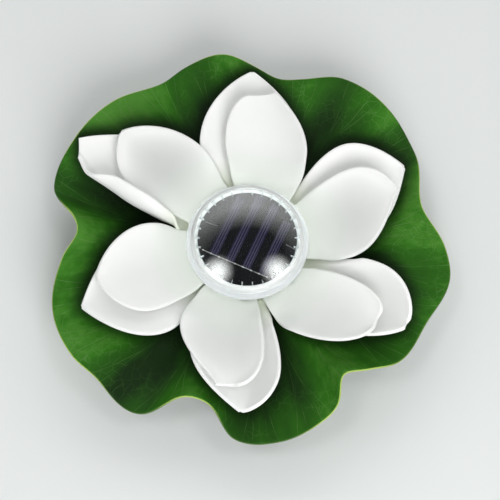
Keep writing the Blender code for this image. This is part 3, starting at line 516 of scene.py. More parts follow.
def petal_grid(sheet, petals, k, above):
    """One petal: a flat grid, each of whose points the formula moves into place."""
    rows = WEB_ROWS + CLIMB_ROWS + PETAL_ROWS
    bpy.ops.object.select_all(action="DESELECT")
    bpy.ops.mesh.primitive_grid_add(x_subdivisions=PETAL_COLUMNS, y_subdivisions=rows, size=2.0)
    grid = bpy.context.object
    petal = petals[k]
    before = (petal.turn - petals[k - 1].turn) % math.tau
    after = (petals[(k + 1) % len(petals)].turn - petal.turn) % math.tau
    hollow = []
    for vertex in grid.data.vertices:
        across = vertex.co.x
        radius, t, blend = grid_share(round((vertex.co.y + 1.0) / 2.0 * rows))
        sector = (after if across > 0 else before) / 2
        point = petal_point(sheet, petal, sector, radius, t, across, blend)
        rolled = petal.sides[across > 0].flat and abs(across) > ROLL_FREE / 2
        free = above is None or rolled and abs(across) > ROLL_FREE
        vertex.co = point if free else pressed(point, above, PETAL_NEST)
        # Painted shade: greyer in the middle of a hollow, and along a rolled wall where it is free
        shade_mask = 1.0 - across**2 - (HOLLOW_SHADE_SPREAD * (t - sheet.hollow_middle)) ** 2
        wall = ROLL_SHADE * smooth_step(1.0 - abs(abs(across) - ROLL_FREE) / ROLL_SHADE_SPREAD)
        hollow.append(wall if rolled else sheet.hollow_shades[k] * max(shade_mask, 0.0))
    write_attribute(grid, "hollow", hollow)
    return grid


def petal_sheet(name, sheet, values, above=None):
    """The middle surface of one sheet, with its petals joined at the web."""
    petals = [petal_line(*row) for row in values]
    piece = joined(name, [petal_grid(sheet, petals, k, above) for k in range(len(petals))])
    clean(piece)
    return piece


def thicken(piece, thickness, rim=0):
    """Gives a middle surface its foam on both sides, and rounds the rim."""
    modify(
        piece, "SOLIDIFY", thickness=thickness, offset=0.0,
        use_quality_normals=True, material_offset_rim=rim,
    )
    modify(piece, "SUBSURF", levels=1, render_levels=1)
    only(piece)
    bpy.ops.object.shade_smooth()


inner_petals = petal_sheet("inner_petal_foam", INNER, INNER_PETALS)
inner_tree = surface_tree(inner_petals)
outer_petals = petal_sheet("outer_petal_foam", OUTER, OUTER_PETALS, inner_tree)
outer_tree = surface_tree(outer_petals)
thicken(inner_petals, FOAM_THICKNESS)
thicken(outer_petals, FOAM_THICKNESS)
print("petal faces:", len(inner_petals.data.polygons), len(outer_petals.data.polygons))

# %% [markdown]
# ## Petal foam
#
# The foam is white with a satin skin. It lets a little light in, so its cups look soft. The middle of a deep
# hollow and a rolled wall are painted greyer, as painted shade. Near the lamp the foam is painted a darker
# green, as painted shade and the leaf's painted green reflection, and the outer sheet's white is painted
# lighter, as painted light in the shade between the sheets. A fine grain breaks up the shine.

# %% Petal finish
INNER_WHITE = (0.90, 0.905, 0.895)
# The outer sheet is the same foam; its white is painted lighter, as painted light in the shade between the
# sheets
OUTER_LIT_WHITE = (0.982, 0.986, 0.976)
PETAL_SHADE_GREY = (0.56, 0.575, 0.56)
# Near the lamp the foam is painted a darker green: painted shade, and the leaf's painted green reflection
INNER_ROOT_SHADE = (0.72, 0.77, 0.705)
OUTER_ROOT_SHADE = (0.66, 0.71, 0.57)
INNER_ROOT_SHADE_RADII = (0.042, 0.075)
OUTER_ROOT_SHADE_RADII = (0.044, 0.066)
EVEN_GLOW = (1.0, 1.0, 1.0)
FOAM_GRAIN = 1500.0
FOAM_GRAIN_DEPTH = 0.00006
PETAL_CLOUD_SCALE = 45.0
PETAL_CLOUD = 0.06
PETAL_ROUGHNESS = (0.46, 0.56)
IN_PLAN = (1.0, 1.0, 0.0)


def flat_radius(finish):
    """Distance from the lamp's axis."""
    place = coordinates(finish, "Object")
    flat = add(finish, "VectorMath", {0: place, 1: IN_PLAN}, operation="MULTIPLY").outputs["Vector"]
    return add(finish, "VectorMath", {0: flat}, operation="LENGTH").outputs["Value"]


def petal_finish(name, white, root_shade, root_shade_radii):
    finish = plain_finish(
        name, white, roughness=0.5, Specular_IOR_Level=0.35,
        Subsurface_Weight=0.28, Subsurface_Scale=0.005, Subsurface_Radius=EVEN_GLOW,
    )
    place = coordinates(finish, "Object")
    cloud = varied(finish, noise(finish, place, PETAL_CLOUD_SCALE), 0.0, PETAL_CLOUD)
    # Painted shade of the hollows and rolled walls, with a random mottle over it
    hollow = calc(finish, "ADD", read_attribute(finish, "hollow"), cloud)
    toned = mixed(finish, hollow, white, PETAL_SHADE_GREY)
    # Painted shade and painted green reflection of the leaf, near the lamp
    away = spread(finish, flat_radius(finish), *root_shade_radii)
    feed(finish, "Base Color", mixed(finish, away, root_shade, toned))
    grain = noise(finish, place, FOAM_GRAIN)
    feed(finish, "Roughness", varied(finish, grain, *PETAL_ROUGHNESS))
    bump(finish, grain, FOAM_GRAIN_DEPTH)
    return finish


inner_foam = petal_finish("Inner petal foam", INNER_WHITE, INNER_ROOT_SHADE, INNER_ROOT_SHADE_RADII)
outer_foam = petal_finish("Outer petal foam", OUTER_LIT_WHITE, OUTER_ROOT_SHADE, OUTER_ROOT_SHADE_RADII)
dress(inner_petals, inner_foam, "flower", "petal_foam", "inner_petals")
dress(outer_petals, outer_foam, "flower", "petal_foam", "outer_petals")

# %% [markdown]
# ## Lily pad
#
# The leaf is a flat foam sheet with a wavy outline, pressed so that its rim ruffles. It is a grid wrapped
# round the lamp: its columns run round the leaf, and its rows run from the hole to the rim. The grid's own
# UV map then gives each point its direction and its share of the way out, which the veins follow.

# %% Leaf sizes
LEAF_THICKNESS = 0.0030
LEAF_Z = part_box("leaf_pad")[0].z + LEAF_THICKNESS / 2
LEAF_FLAT_RADIUS = 0.0500
LEAF_CURVE = 2.2
LEAF_FOAM_THICKNESS = 0.0018
LEAF_COLUMNS = 240
LEAF_ROWS = 36
# The rim: direction in degrees, and its radius there
LEAF_RIM = (
    (0, 0.1363), (14, 0.1245), (30, 0.1380), (46, 0.1460), (62, 0.1460), (72, 0.1360),
    (80, 0.1318), (88, 0.1385), (97, 0.1470), (108, 0.1450), (117, 0.1402), (130, 0.1460),
    (146, 0.1464), (162, 0.1430), (169, 0.1232), (176, 0.1175), (184, 0.1270), (198, 0.1395),
    (213, 0.1415), (223, 0.1388), (234, 0.1418), (240, 0.1368), (246, 0.1192), (252, 0.1146),
    (259, 0.1184), (266, 0.1362), (279, 0.1400), (291, 0.1350), (298, 0.1285), (304, 0.1135),
    (312, 0.1208), (321, 0.1325), (336, 0.1335), (350, 0.1410),
)
# The rim's height over the flat middle, in the same way
LEAF_RIM_HEIGHTS = (
    (0, 0.011), (15, 0.013), (38, 0.008), (60, 0.014), (80, 0.010), (97, 0.018), (117, 0.010),
    (146, 0.014), (163, 0.008), (176, 0.017), (200, 0.009), (225, 0.014), (240, 0.008),
    (252, 0.016), (268, 0.009), (285, 0.012), (304, 0.018), (325, 0.012), (344, 0.008),
)
# Folds of the foam: direction in degrees, and how far the rim rises or sinks there
LEAF_FOLDS = (
    (0, 0.0035), (12, 0.006), (20, 0.0045), (28, 0.003), (36, -0.002), (45, 0.0035), (52, 0.003),
    (59, -0.0015), (68, 0.001), (76, 0.0035), (86, 0.0025), (97, 0.002), (105, -0.002), (112, -0.002),
    (118, 0.004), (130, 0.008), (143, 0.005), (156, -0.001), (163, 0.0005), (169, 0.0065), (176, 0.0045),
    (187, 0.0025), (198, 0.0045), (210, 0.0055), (217, 0.004), (224, 0.0005), (234, -0.0035), (243, 0.002),
    (252, 0.002), (262, -0.0005), (271, -0.002), (284, -0.001), (298, 0.0035), (307, 0.005), (316, 0.0005),
    (324, -0.001), (334, 0.002), (344, 0.002), (352, 0.002),
)
FOLD_HEIGHT = 0.007
FOLD_CURVE = 1.3
print("leaf middle at", round(LEAF_Z, 4), "folds:", len(LEAF_FOLDS))

# %% [markdown]
# ## Shade of the petals
#
# The leaf is painted darkest close to the petals, as painted shade where little light gets in between the
# sheets.
# Each of its points is given one number, how deep it lies in the petals' shade, and the leaf's finish
# darkens by it.

# %% Shade on the leaf
SHADE_REACH = 0.013
SHADE_SLANT = 0.48


def shade_place(point):
    """Where a point's shade falls on the floor. The light comes from the front, so a high point shades the
    place behind it."""
    return Vector((point.x, point.y + SHADE_SLANT * point.z, 0.0))


def shade_tree(*pieces):
    """A search tree of the shade of some pieces."""
    points = []
    faces = []
    for piece in pieces:
        first = len(points)
        points += [shade_place(vertex.co) for vertex in piece.data.vertices]
        faces += [[first + i for i in face.vertices] for face in piece.data.polygons]
    return BVHTree.FromPolygons(points, faces)


def petal_shade_depth(point):
    """How deep a point lies in the petals' shade: 1 inside it, and 0 well away from it."""
    distance = petal_shade.find_nearest(shade_place(point))[3]
    return 1.0 - smooth_step(distance / SHADE_REACH)


petal_shade = shade_tree(inner_petals, outer_petals)
print("petal points that cast shade:", len(inner_petals.data.vertices) + len(outer_petals.data.vertices))


# %% Shape the leaf
def around(points, angle):
    """A smooth closed curve through (degrees, value) points, read at an angle in degrees."""
    count = len(points)
    angle = angle % 360.0
    at = max(i for i in range(count) if points[i][0] <= angle)
    before, start, end, after = (points[(at + k) % count] for k in (-1, 0, 1, 2))
    span = (end[0] - start[0]) % 360.0
    t = (angle - start[0]) / span
    slope_in = (end[1] - before[1]) / ((end[0] - before[0]) % 360.0) * span
    slope_out = (after[1] - start[1]) / ((after[0] - start[0]) % 360.0) * span
    return (
        (2 * t**3 - 3 * t**2 + 1) * start[1] + (t**3 - 2 * t**2 + t) * slope_in
        + (3 * t**2 - 2 * t**3) * end[1] + (t**3 - t**2) * slope_out
    )


def leaf_point(turn, share):
    """The leaf's middle surface at a share of a full turn and a share of the way out. A fold lifts the foam
    along the photograph's line of sight, so that the outline stays as it is seen there."""
    degrees = 360.0 * turn
    rim = around(LEAF_RIM, degrees)
    radius = HOLE_RADIUS + (rim - HOLE_RADIUS) * share
    risen = max(radius - LEAF_FLAT_RADIUS, 0.0) / (rim - LEAF_FLAT_RADIUS)
    height = around(LEAF_RIM_HEIGHTS, degrees) * risen**LEAF_CURVE
    fold = around(LEAF_FOLDS, degrees) * risen**FOLD_CURVE
    flat = on_circle(radius, math.radians(degrees))
    return Vector((flat.x, flat.y - fold / math.tan(VIEW_ELEVATION), LEAF_Z + height + fold))


def leaf_sheet():
    bpy.ops.object.select_all(action="DESELECT")
    bpy.ops.mesh.primitive_grid_add(x_subdivisions=LEAF_COLUMNS, y_subdivisions=LEAF_ROWS, size=2.0)
    leaf = named("leaf_foam")
    fold_shadings = []
    petal_shade_depths = []
    for vertex in leaf.data.vertices:
        turn = (vertex.co.x + 1.0) / 2.0
        vertex.co = pressed(leaf_point(turn, (vertex.co.y + 1.0) / 2.0), outer_tree, NEST_DISTANCE)
        # Painted light and shade of the folds: lighter where a fold rises, darker where it sinks
        fold_shadings.append(around(LEAF_FOLDS, 360.0 * turn) / FOLD_HEIGHT)
        petal_shade_depths.append(petal_shade_depth(vertex.co))
    write_attribute(leaf, "fold_shading", fold_shadings)
    write_attribute(leaf, "petal_shade_depth", petal_shade_depths)
    clean(leaf)
    return leaf


leaf = leaf_sheet()
print("leaf points:", len(leaf.data.vertices))

# %% [markdown]
# ## Leaf foam
#
# The leaf's top is dark green. Where a fold rises it is painted lighter, as painted light, and where it
# sinks darker, as painted shade. Pale veins fork on their way out, as on a lotus leaf, with a fine net
# between them.
# Folding the direction at each fork draws the whole fan of veins with a few nodes. The cut edge shows the
# foam's own yellow green where the rim is raised, and is painted darker, as painted shade, where it is low.

# %% Leaf veins
VEIN_COUNT = 23
# Where the veins fork, as a share of the way out, and how fast the two halves part
VEIN_FORKS = ((0.42, 0.42), (0.66, 0.30))
VEIN_WIDTH = 0.00027
VEIN_WANDER = 0.003
VEIN_WANDER_SCALE = 28.0
NET_SCALE = 150.0
NET_WIDTH = 0.032
NET_WANDER = 0.010
NET_WANDER_SCALE = 55.0


def vein_height(finish):
    """1 on a vein and 0 beside it: a fan of radial veins, each of which forks twice."""
    place = add(finish, "SeparateXYZ", {"Vector": coordinates(finish, "UV")})
    turn, share = place.outputs["X"], place.outputs["Y"]
    wander = noise(finish, coordinates(finish, "Object"), VEIN_WANDER_SCALE)
    turn = calc(finish, "ADD", turn, spread(finish, wander, 0.0, 1.0, -VEIN_WANDER, VEIN_WANDER))
    sector = calc(finish, "FRACT", calc(finish, "MULTIPLY", turn, VEIN_COUNT))
    aside = calc(finish, "ABSOLUTE", calc(finish, "SUBTRACT", sector, 0.5))
    for start, slope in VEIN_FORKS:
        grown = calc(finish, "MULTIPLY", calc(finish, "SUBTRACT", share, start), slope)
        aside = calc(finish, "ABSOLUTE", calc(finish, "SUBTRACT", aside, calc(finish, "MAXIMUM", grown)))
    radius = spread(finish, share, 0.0, 1.0, HOLE_RADIUS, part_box("leaf_pad")[1].x)
    distance = calc(finish, "MULTIPLY", calc(finish, "MULTIPLY", aside, radius), math.tau / VEIN_COUNT)
    return spread(finish, distance, 0.0, VEIN_WIDTH, 1.0, 0.0)


def net_height(finish):
    """1 on the net of fine curved veins between the straight ones and 0 beside it."""
    place = coordinates(finish, "Object")
    bends = add(finish, "TexNoise", {"Vector": place, "Scale": NET_WANDER_SCALE}).outputs["Color"]
    bent = add(finish, "VectorMath", {0: bends, 1: (NET_WANDER,) * 3, 2: place}, operation="MULTIPLY_ADD")
    cells = {"Vector": bent.outputs["Vector"], "Scale": NET_SCALE}
    to_edge = add(finish, "TexVoronoi", cells, feature="DISTANCE_TO_EDGE").outputs["Distance"]
    return spread(finish, to_edge, 0.0, NET_WIDTH, 1.0, 0.0)


print("veins:", VEIN_COUNT, "each forks", len(VEIN_FORKS), "times")

# %% Leaf finish
# The dark and light greens are partly painted shade and painted light of the folds, partly tone that differs
# at random
LEAF_GREEN = (0.032, 0.160, 0.010)
LEAF_DARK_AND_SHADED = (0.008, 0.021, 0.006)
LEAF_LIGHT_AND_LIT = (0.085, 0.260, 0.035)
LEAF_SHADE = (0.004, 0.011, 0.003)
LEAF_ROUGHNESS = (0.42, 0.56)
VEIN_COLOUR = (0.130, 0.270, 0.075)
VEIN_DEPTH = 0.00015
GRAIN_SHARE = 0.3
SHADE_SHARE = 0.92
# How a place's tone swings about its fold's painted light and shade: in patches, in pleats, in fine streaks
# and towards the rim
PATCH_SCALE = 22.0
PATCH_SWING = 0.2
PLEAT_SCALE = (34.0, 1.6, 1.0)
PLEAT_SWING = 0.35
STREAK_SCALE = (150.0, 14.0, 1.0)
STREAK_SWING = 0.3
OUTWARD_SHARES = (0.64, 0.93)
OUTWARD_SWING = (-0.32, 0.12)
# The span of tones from dark to green, the span from green to light, and how far each is followed
GREEN_SPAN = (-0.5, 0.6)
LEAST_GREEN = 0.04
LIGHT_SPAN = (0.40, 1.15)
MOST_LIGHT = 0.7
# Veins and net fade in patches, and where the tone is painted dark
FADE_SPAN = (0.40, 0.60)
VEIN_FADE_SCALE = 60.0
VEIN_FADE = (0.10, 1.0)
NET_FADE_SCALE = 35.0
NET_FADE = (0.0, 0.50)
LINES_IN_DARK = 0.25


def drawn_out(finish, scale, detail):
    """A noise that is drawn out from the lamp towards the rim."""
    place = add(finish, "Mapping", {"Vector": coordinates(finish, "UV"), "Scale": scale})
    return noise(finish, place.outputs["Vector"], 1.0, detail)


def leaf_tone_and_shading(finish, place):
    """How light a place is painted before its fine streaks: its fold's painted light and shade, patches,
    pleats and a swing outwards.
    """
    share = add(finish, "SeparateXYZ", {"Vector": coordinates(finish, "UV")}).outputs["Y"]
    patches = varied(finish, noise(finish, place, PATCH_SCALE, detail=4.0), -PATCH_SWING, PATCH_SWING)
    pleats = varied(finish, drawn_out(finish, PLEAT_SCALE, detail=2.0), -PLEAT_SWING, PLEAT_SWING)
    outwards = spread(finish, share, *OUTWARD_SHARES, *OUTWARD_SWING)
    tone_and_shading = read_attribute(finish, "fold_shading")
    for part in (patches, pleats, outwards):
        tone_and_shading = calc(finish, "ADD", tone_and_shading, part)
    return tone_and_shading


def leaf_lines(finish, place, tone_and_shading, vein):
    """How clearly a vein or the net shows at a place."""
    vein_fade = spread(finish, noise(finish, place, VEIN_FADE_SCALE), *FADE_SPAN, *VEIN_FADE)
    net_fade = spread(finish, noise(finish, place, NET_FADE_SCALE), *FADE_SPAN, *NET_FADE)
    net = calc(finish, "MULTIPLY", net_height(finish), net_fade)
    lines = calc(finish, "MAXIMUM", calc(finish, "MULTIPLY", vein, vein_fade), net)
    return calc(finish, "MULTIPLY", lines, spread(finish, tone_and_shading, *GREEN_SPAN, LINES_IN_DARK, 1.0))


def leaf_finish():
    finish = plain_finish("Leaf foam", LEAF_GREEN, roughness=0.5, Specular_IOR_Level=0.08)
    place = coordinates(finish, "Object")
    tone_and_shading = leaf_tone_and_shading(finish, place)
    streaks = varied(finish, drawn_out(finish, STREAK_SCALE, detail=4.0), -STREAK_SWING, STREAK_SWING)
    green = spread(finish, tone_and_shading, *GREEN_SPAN, LEAST_GREEN, 1.0)
    light = spread(finish, calc(finish, "ADD", tone_and_shading, streaks), *LIGHT_SPAN, 0.0, MOST_LIGHT)
    colour = mixed(finish, light, mixed(finish, green, LEAF_DARK_AND_SHADED, LEAF_GREEN), LEAF_LIGHT_AND_LIT)
    vein = vein_height(finish)
    veined = mixed(finish, leaf_lines(finish, place, tone_and_shading, vein), colour, VEIN_COLOUR)
    # Painted shade of the petals on the leaf
    painted_shade_share = calc(finish, "MULTIPLY", read_attribute(finish, "petal_shade_depth"), SHADE_SHARE)
    feed(finish, "Base Color", mixed(finish, painted_shade_share, veined, LEAF_SHADE))
    grain = noise(finish, place, FOAM_GRAIN)
    feed(finish, "Roughness", varied(finish, grain, *LEAF_ROUGHNESS))
    relief = calc(finish, "ADD", calc(finish, "MULTIPLY", grain, GRAIN_SHARE), vein)
    bump(finish, relief, VEIN_DEPTH)
    return finish


# %% Leaf edge
EDGE_COLOUR = (0.42, 0.56, 0.11)
# Where the rim is low the edge is painted this darker green, as painted shade
EDGE_SHADE = (0.075, 0.155, 0.025)
EDGE_HEIGHTS = (0.0105, 0.0165)


def leaf_edge_finish():
    finish = plain_finish("Leaf edge", EDGE_COLOUR, roughness=0.6)
    place = coordinates(finish, "Object")
    height = add(finish, "SeparateXYZ", {"Vector": place}).outputs["Z"]
    raised = spread(finish, height, *(LEAF_Z + above for above in EDGE_HEIGHTS))
    # Painted shade on the edge where the rim is low
    feed(finish, "Base Color", mixed(finish, raised, EDGE_SHADE, EDGE_COLOUR))
    bump(finish, noise(finish, place, FOAM_GRAIN), FOAM_GRAIN_DEPTH)
    return finish


leaf.data.materials.append(leaf_finish())
leaf.data.materials.append(leaf_edge_finish())
thicken(leaf, LEAF_FOAM_THICKNESS, rim=1)
settle(leaf, "flower", "leaf_foam", "leaf_pad")

# %% [markdown]
# ## Turned pieces
#
# Most of the lamp is round. A circle's points are pulled onto a closed profile of radii and heights, and
# the profile is spun about an upright axis. Arcs in the profile give the mouldings their rounded edges.

# %% Spinning a profile
TURN_STEPS = 144


def arc(centre, radius, start, end, steps=6):
    """Profile points along an arc, from one angle to another in degrees."""
    angles = [math.radians(start + (end - start) * i / steps) for i in range(steps + 1)]
    return [(centre[0] + radius * math.cos(a), centre[1] + radius * math.sin(a)) for a in angles]


def turned(name, profile, steps=TURN_STEPS, centre=(0.0, 0.0)):
    """A closed profile of radii and heights, spun about an upright axis through the centre."""
    bpy.ops.object.select_all(action="DESELECT")
    bpy.ops.mesh.primitive_circle_add(vertices=len(profile))
    piece = named(name)
    for vertex, (radius, height) in zip(piece.data.vertices, profile):
        vertex.co = (centre[0] + radius, centre[1], height)
    with editing(piece):
        bpy.ops.mesh.spin(steps=steps, angle=math.tau, center=(*centre, 0.0), axis=(0.0, 0.0, 1.0))
    clean(piece)
    smooth(piece)
    return piece


def round_node(node):
    """Radius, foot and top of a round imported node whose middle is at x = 0."""
    low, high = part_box(node)
    return high.x, low.z, high.z


# %% [markdown]
# ## Clear cover
#
# The cover is moulded in clear plastic: a brim that sits on the petals, a short crown wall and a shallow
# dome. Thirty small ribs stand inside it round the edge of the disc. One rib is modelled and copied round.

# %% Shape the cover
COVER_WALL = 0.0020
CROWN_RADIUS = 0.0384
CROWN_ROUND = 0.0016
BRIM_THICKNESS = 0.0020
BRIM_ROUND = 0.0007
BEAD_ROUND = 0.0003
BEAD_RADII = (0.0397, 0.0406)
DOME_RISE = 0.0055
DOME_STEPS = 16
CLEAR_RADIUS = 0.0356


def dome_arc(edge_radius, edge_z):
    """Points of the shallow dome, from its crown to its edge."""
    sphere = (edge_radius**2 + DOME_RISE**2) / (2.0 * DOME_RISE)
    radii = [CLEAR_RADIUS * i / DOME_STEPS for i in range(DOME_STEPS + 1)] + [edge_radius]
    return [(r, edge_z + DOME_RISE - sphere + math.sqrt(sphere**2 - r**2)) for r in radii]


def cover_profile():
    brim_radius, brim_z, dome_top = round_node("lens_cover")
    edge_z = dome_top - DOME_RISE
    brim_top = brim_z + BRIM_THICKNESS
    outer = dome_arc(CROWN_RADIUS - CROWN_ROUND, edge_z)[:-1]
    crown = arc((CROWN_RADIUS - CROWN_ROUND, edge_z - CROWN_ROUND), CROWN_ROUND, 90, 0)
    foot = arc((CROWN_RADIUS + BRIM_ROUND, brim_top + BRIM_ROUND), BRIM_ROUND, 180, 270)
    beads = [point for radius in BEAD_RADII for point in arc((radius, brim_top), BEAD_ROUND, 180, 0)]
    lip = arc((brim_radius - BRIM_ROUND, brim_top - BRIM_ROUND), BRIM_ROUND, 90, 0)
    under = [(brim_radius, brim_z), (CROWN_RADIUS - COVER_WALL, brim_z)]
    inner = dome_arc(CROWN_RADIUS - COVER_WALL, edge_z - COVER_WALL)
    return outer + crown + foot + beads + lip + under + inner[::-1]


cover = turned("clear_cover", cover_profile())
print("cover faces:", len(cover.data.polygons))

# %% Shape the ribs
BLOCK_BEVEL = 0.00005
RIB_COUNT = 30
RIB_WIDTH = 0.0007
RIB_LENGTH = 0.0042
RIB_OVER_DISC = 0.0016
RIB_HEIGHT = 0.0022
RIB_GAP = 0.0003
RIB_BEVEL = 0.00015


def block(name, size, place, turn=0.0, bevel=BLOCK_BEVEL):
    """A bevelled block of a given size, turned about its own upright axis."""
    bpy.ops.object.select_all(action="DESELECT")
    bpy.ops.mesh.primitive_cube_add(size=1.0, rotation=(0.0, 0.0, turn))
    piece = named(name)
    piece.scale = size
    piece.location = place
    bpy.ops.object.transform_apply(location=True, rotation=True, scale=True)
    modify(piece, "BEVEL", width=bevel, segments=2)
    smooth(piece)
    return piece


def copied_round(piece, count):
    """The piece and its copies, spaced evenly round the lamp's axis, each with its own mesh."""
    pieces = [piece]
    for i in range(1, count):
        only(piece)
        bpy.ops.object.duplicate()
        copy = named(f"{piece.name}_{i + 1}")
        copy.rotation_euler.z = math.tau * i / count
        bpy.ops.object.transform_apply(rotation=True)
        pieces.append(copy)
    return pieces


def cover_ribs():
    radius, _, top = round_node("solar_panel")
    place = (radius - RIB_OVER_DISC + RIB_LENGTH / 2, 0.0, top + RIB_GAP + RIB_HEIGHT / 2)
    rib = block("rib", (RIB_LENGTH, RIB_WIDTH, RIB_HEIGHT), place, bevel=RIB_BEVEL)
    piece = joined("cover_ribs", copied_round(rib, RIB_COUNT))
    smooth(piece)
    return piece


ribs = cover_ribs()
print("ribs:", RIB_COUNT, "with", len(ribs.data.polygons), "faces")

# %% Clear plastic
CLEAR_TINT = (0.94, 0.98, 0.985)
CROWN_TINT = (0.965, 0.985, 0.975)
BRIM_TINT = (0.93, 0.955, 0.975)
FLOW_SCALE = 90.0
FLOW_SHINE = (1.0, 1.8)


def uneven_shine(finish, grain, roughness, shares):
    """Lets the roughness vary between two shares of its value."""
    feed(finish, "Roughness", varied(finish, grain, *(roughness * share for share in shares)))


def clear_finish(name, roughness, transmission=1.0, index=1.5, tint=CLEAR_TINT):
    finish = plain_finish(name, tint, roughness, Transmission_Weight=transmission, IOR=index)
    flow = noise(finish, coordinates(finish, "Object"), FLOW_SCALE)
    uneven_shine(finish, flow, roughness, FLOW_SHINE)
    return finish


def ring_slots(piece, *radii):
    """Gives the faces outside each radius the next material slot."""
    for face in piece.data.polygons:
        face.material_index = sum(math.hypot(face.center.x, face.center.y) > radius for radius in radii)


clear = clear_finish("Clear plastic", roughness=0.06)
for finish in (
    clear_finish("Clear dome", roughness=0.02, index=1.75),
    clear_finish("Milky crown", roughness=0.06, transmission=0.7, tint=CROWN_TINT),
    clear_finish("Milky brim", roughness=0.05, transmission=0.6, tint=BRIM_TINT),
):
    cover.data.materials.append(finish)
ring_slots(cover, CLEAR_RADIUS, CROWN_RADIUS)
# Light passes through clear plastic, but its shadow would be drawn as if it were solid
cover.visible_shadow = False
settle(cover, "lamp", "clear_plastic", "lens_cover")
frosted = clear_finish("Frosted rib", roughness=0.2, transmission=0.8)
dress(ribs, frosted, "lamp", "clear_plastic")

# %% [markdown]
# ## Solar disc
#
# Under the dome lies a black resin disc with four strips of silicon, joined by one thin soldered ribbon.
# A white seal rings it, level with its face. Disc and seal are turned. Strips, ribbon and tabs are bevelled
# blocks, set out as the photograph shows them, which is a few millimetres from their packed places. The
# strips are numbered from the left here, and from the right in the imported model. Their finish draws pale
# lines along their length.

# %% Disc and seal
EDGE_ROUND = 0.0003
EDGE_STEPS = 4
SEAL_GAP = 0.0002


def rounded_disc(radius, low, top, edge=EDGE_ROUND):
    """The profile of a disc or rod with rounded edges."""
    upper = arc((radius - edge, top - edge), edge, 90, 0, EDGE_STEPS)
    lower = arc((radius - edge, low + edge), edge, 0, -90, EDGE_STEPS)
    return [(0.0, top)] + upper + lower + [(0.0, low)]


def rounded_ring(inner, outer, low, top, edge=EDGE_ROUND):
    """The profile of a ring with rounded edges."""
    corners = (
        ((outer - edge, top - edge), 90, 0), ((outer - edge, low + edge), 0, -90),
        ((inner + edge, low + edge), -90, -180), ((inner + edge, top - edge), 180, 90),
    )
    return [point for centre, start, end in corners for point in arc(centre, edge, start, end, EDGE_STEPS)]


disc_radius, disc_low, disc_top = round_node("solar_panel")
disc = turned("solar_disc", rounded_disc(disc_radius, disc_low, disc_top))
seal_radius, seal_low, _ = round_node("cover_seal")
seal = turned("seal_ring", rounded_ring(disc_radius + SEAL_GAP, seal_radius, seal_low, disc_top))
print("disc radius:", round(disc_radius, 4), "seal radius:", round(seal_radius, 4))

# %% Strips, ribbon and solder
STRIP_TURN = math.radians(65.7)
STRIP_COUNT = 4
STRIP_PITCH = 0.0120
STRIP_WIDTH = 0.0062
STRIP_SHIFT = -0.0018
STRIP_REACH = 0.0318
RIBBON_ALONG = -0.0202
RIBBON_LENGTH = 0.0472
RIBBON_WIDTH = 0.00036
SOLDER_RADIUS = 0.0006
SOLDER_COUNT = 9
SOLDER_STANDS = 1.4
SOLDER_SIDES = 12
SOLDER_RINGS = 6
# Place on the disc of each tab, and its turn in degrees
TABS = ((-0.0245, 0.0105, -20.0), (0.0295, -0.0065, -30.0))
TAB_LENGTH = 0.0080
TAB_WIDTH = 0.0006
TAB_THICKNESS = 0.0002


def strip_place(along, across, height):
    """A place on the disc, measured along the strips and across them."""
    c, s = math.cos(STRIP_TURN), math.sin(STRIP_TURN)
    return Vector((along * c - across * s, along * s + across * c, height))


def silicon_strip(number):
    node = f"solar_cell_{number}"
    low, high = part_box(node)
    across = STRIP_PITCH * ((STRIP_COUNT + 1) / 2 - number) + STRIP_SHIFT
    end = math.sqrt(STRIP_REACH**2 - (abs(across) + STRIP_WIDTH / 2) ** 2)
    place = strip_place((RIBBON_ALONG + end) / 2, across, (low.z + high.z) / 2)
    size = (end - RIBBON_ALONG, STRIP_WIDTH, high.z - low.z)
    return block(f"silicon_strip_{number}", size, place, STRIP_TURN)


def solder_ribbon():
    """The ribbon with its dots of solder."""
    low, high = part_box("bus_ribbon")
    thickness = high.z - low.z
    middle = (low.z + high.z) / 2
    size = (RIBBON_WIDTH, RIBBON_LENGTH, thickness)
    pieces = [block("ribbon", size, strip_place(RIBBON_ALONG, 0.0, middle), STRIP_TURN)]
    for i in range(SOLDER_COUNT):
        bpy.ops.object.select_all(action="DESELECT")
        bpy.ops.mesh.primitive_uv_sphere_add(
            segments=SOLDER_SIDES, ring_count=SOLDER_RINGS, radius=SOLDER_RADIUS,
        )
        dot = bpy.context.object
        dot.scale.z = thickness / (2 * SOLDER_RADIUS) * SOLDER_STANDS
        dot.location = strip_place(RIBBON_ALONG, RIBBON_LENGTH * (i / (SOLDER_COUNT - 1) - 0.5), middle)
        bpy.ops.object.transform_apply(location=True, scale=True)
        pieces.append(dot)
    ribbon = joined("solder_ribbon", pieces)
    smooth(ribbon)
    return ribbon


strips = [silicon_strip(number) for number in range(1, STRIP_COUNT + 1)]
ribbon = solder_ribbon()
tab_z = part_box("solar_cell_1")[1].z
tabs = [
    block(f"solder_tab_{i}", (TAB_LENGTH, TAB_WIDTH, TAB_THICKNESS), (x, y, tab_z), math.radians(turn))
    for i, (x, y, turn) in enumerate(TABS, 1)
]
print("strips:", len(strips), "solder dots:", SOLDER_COUNT, "tabs:", len(tabs))

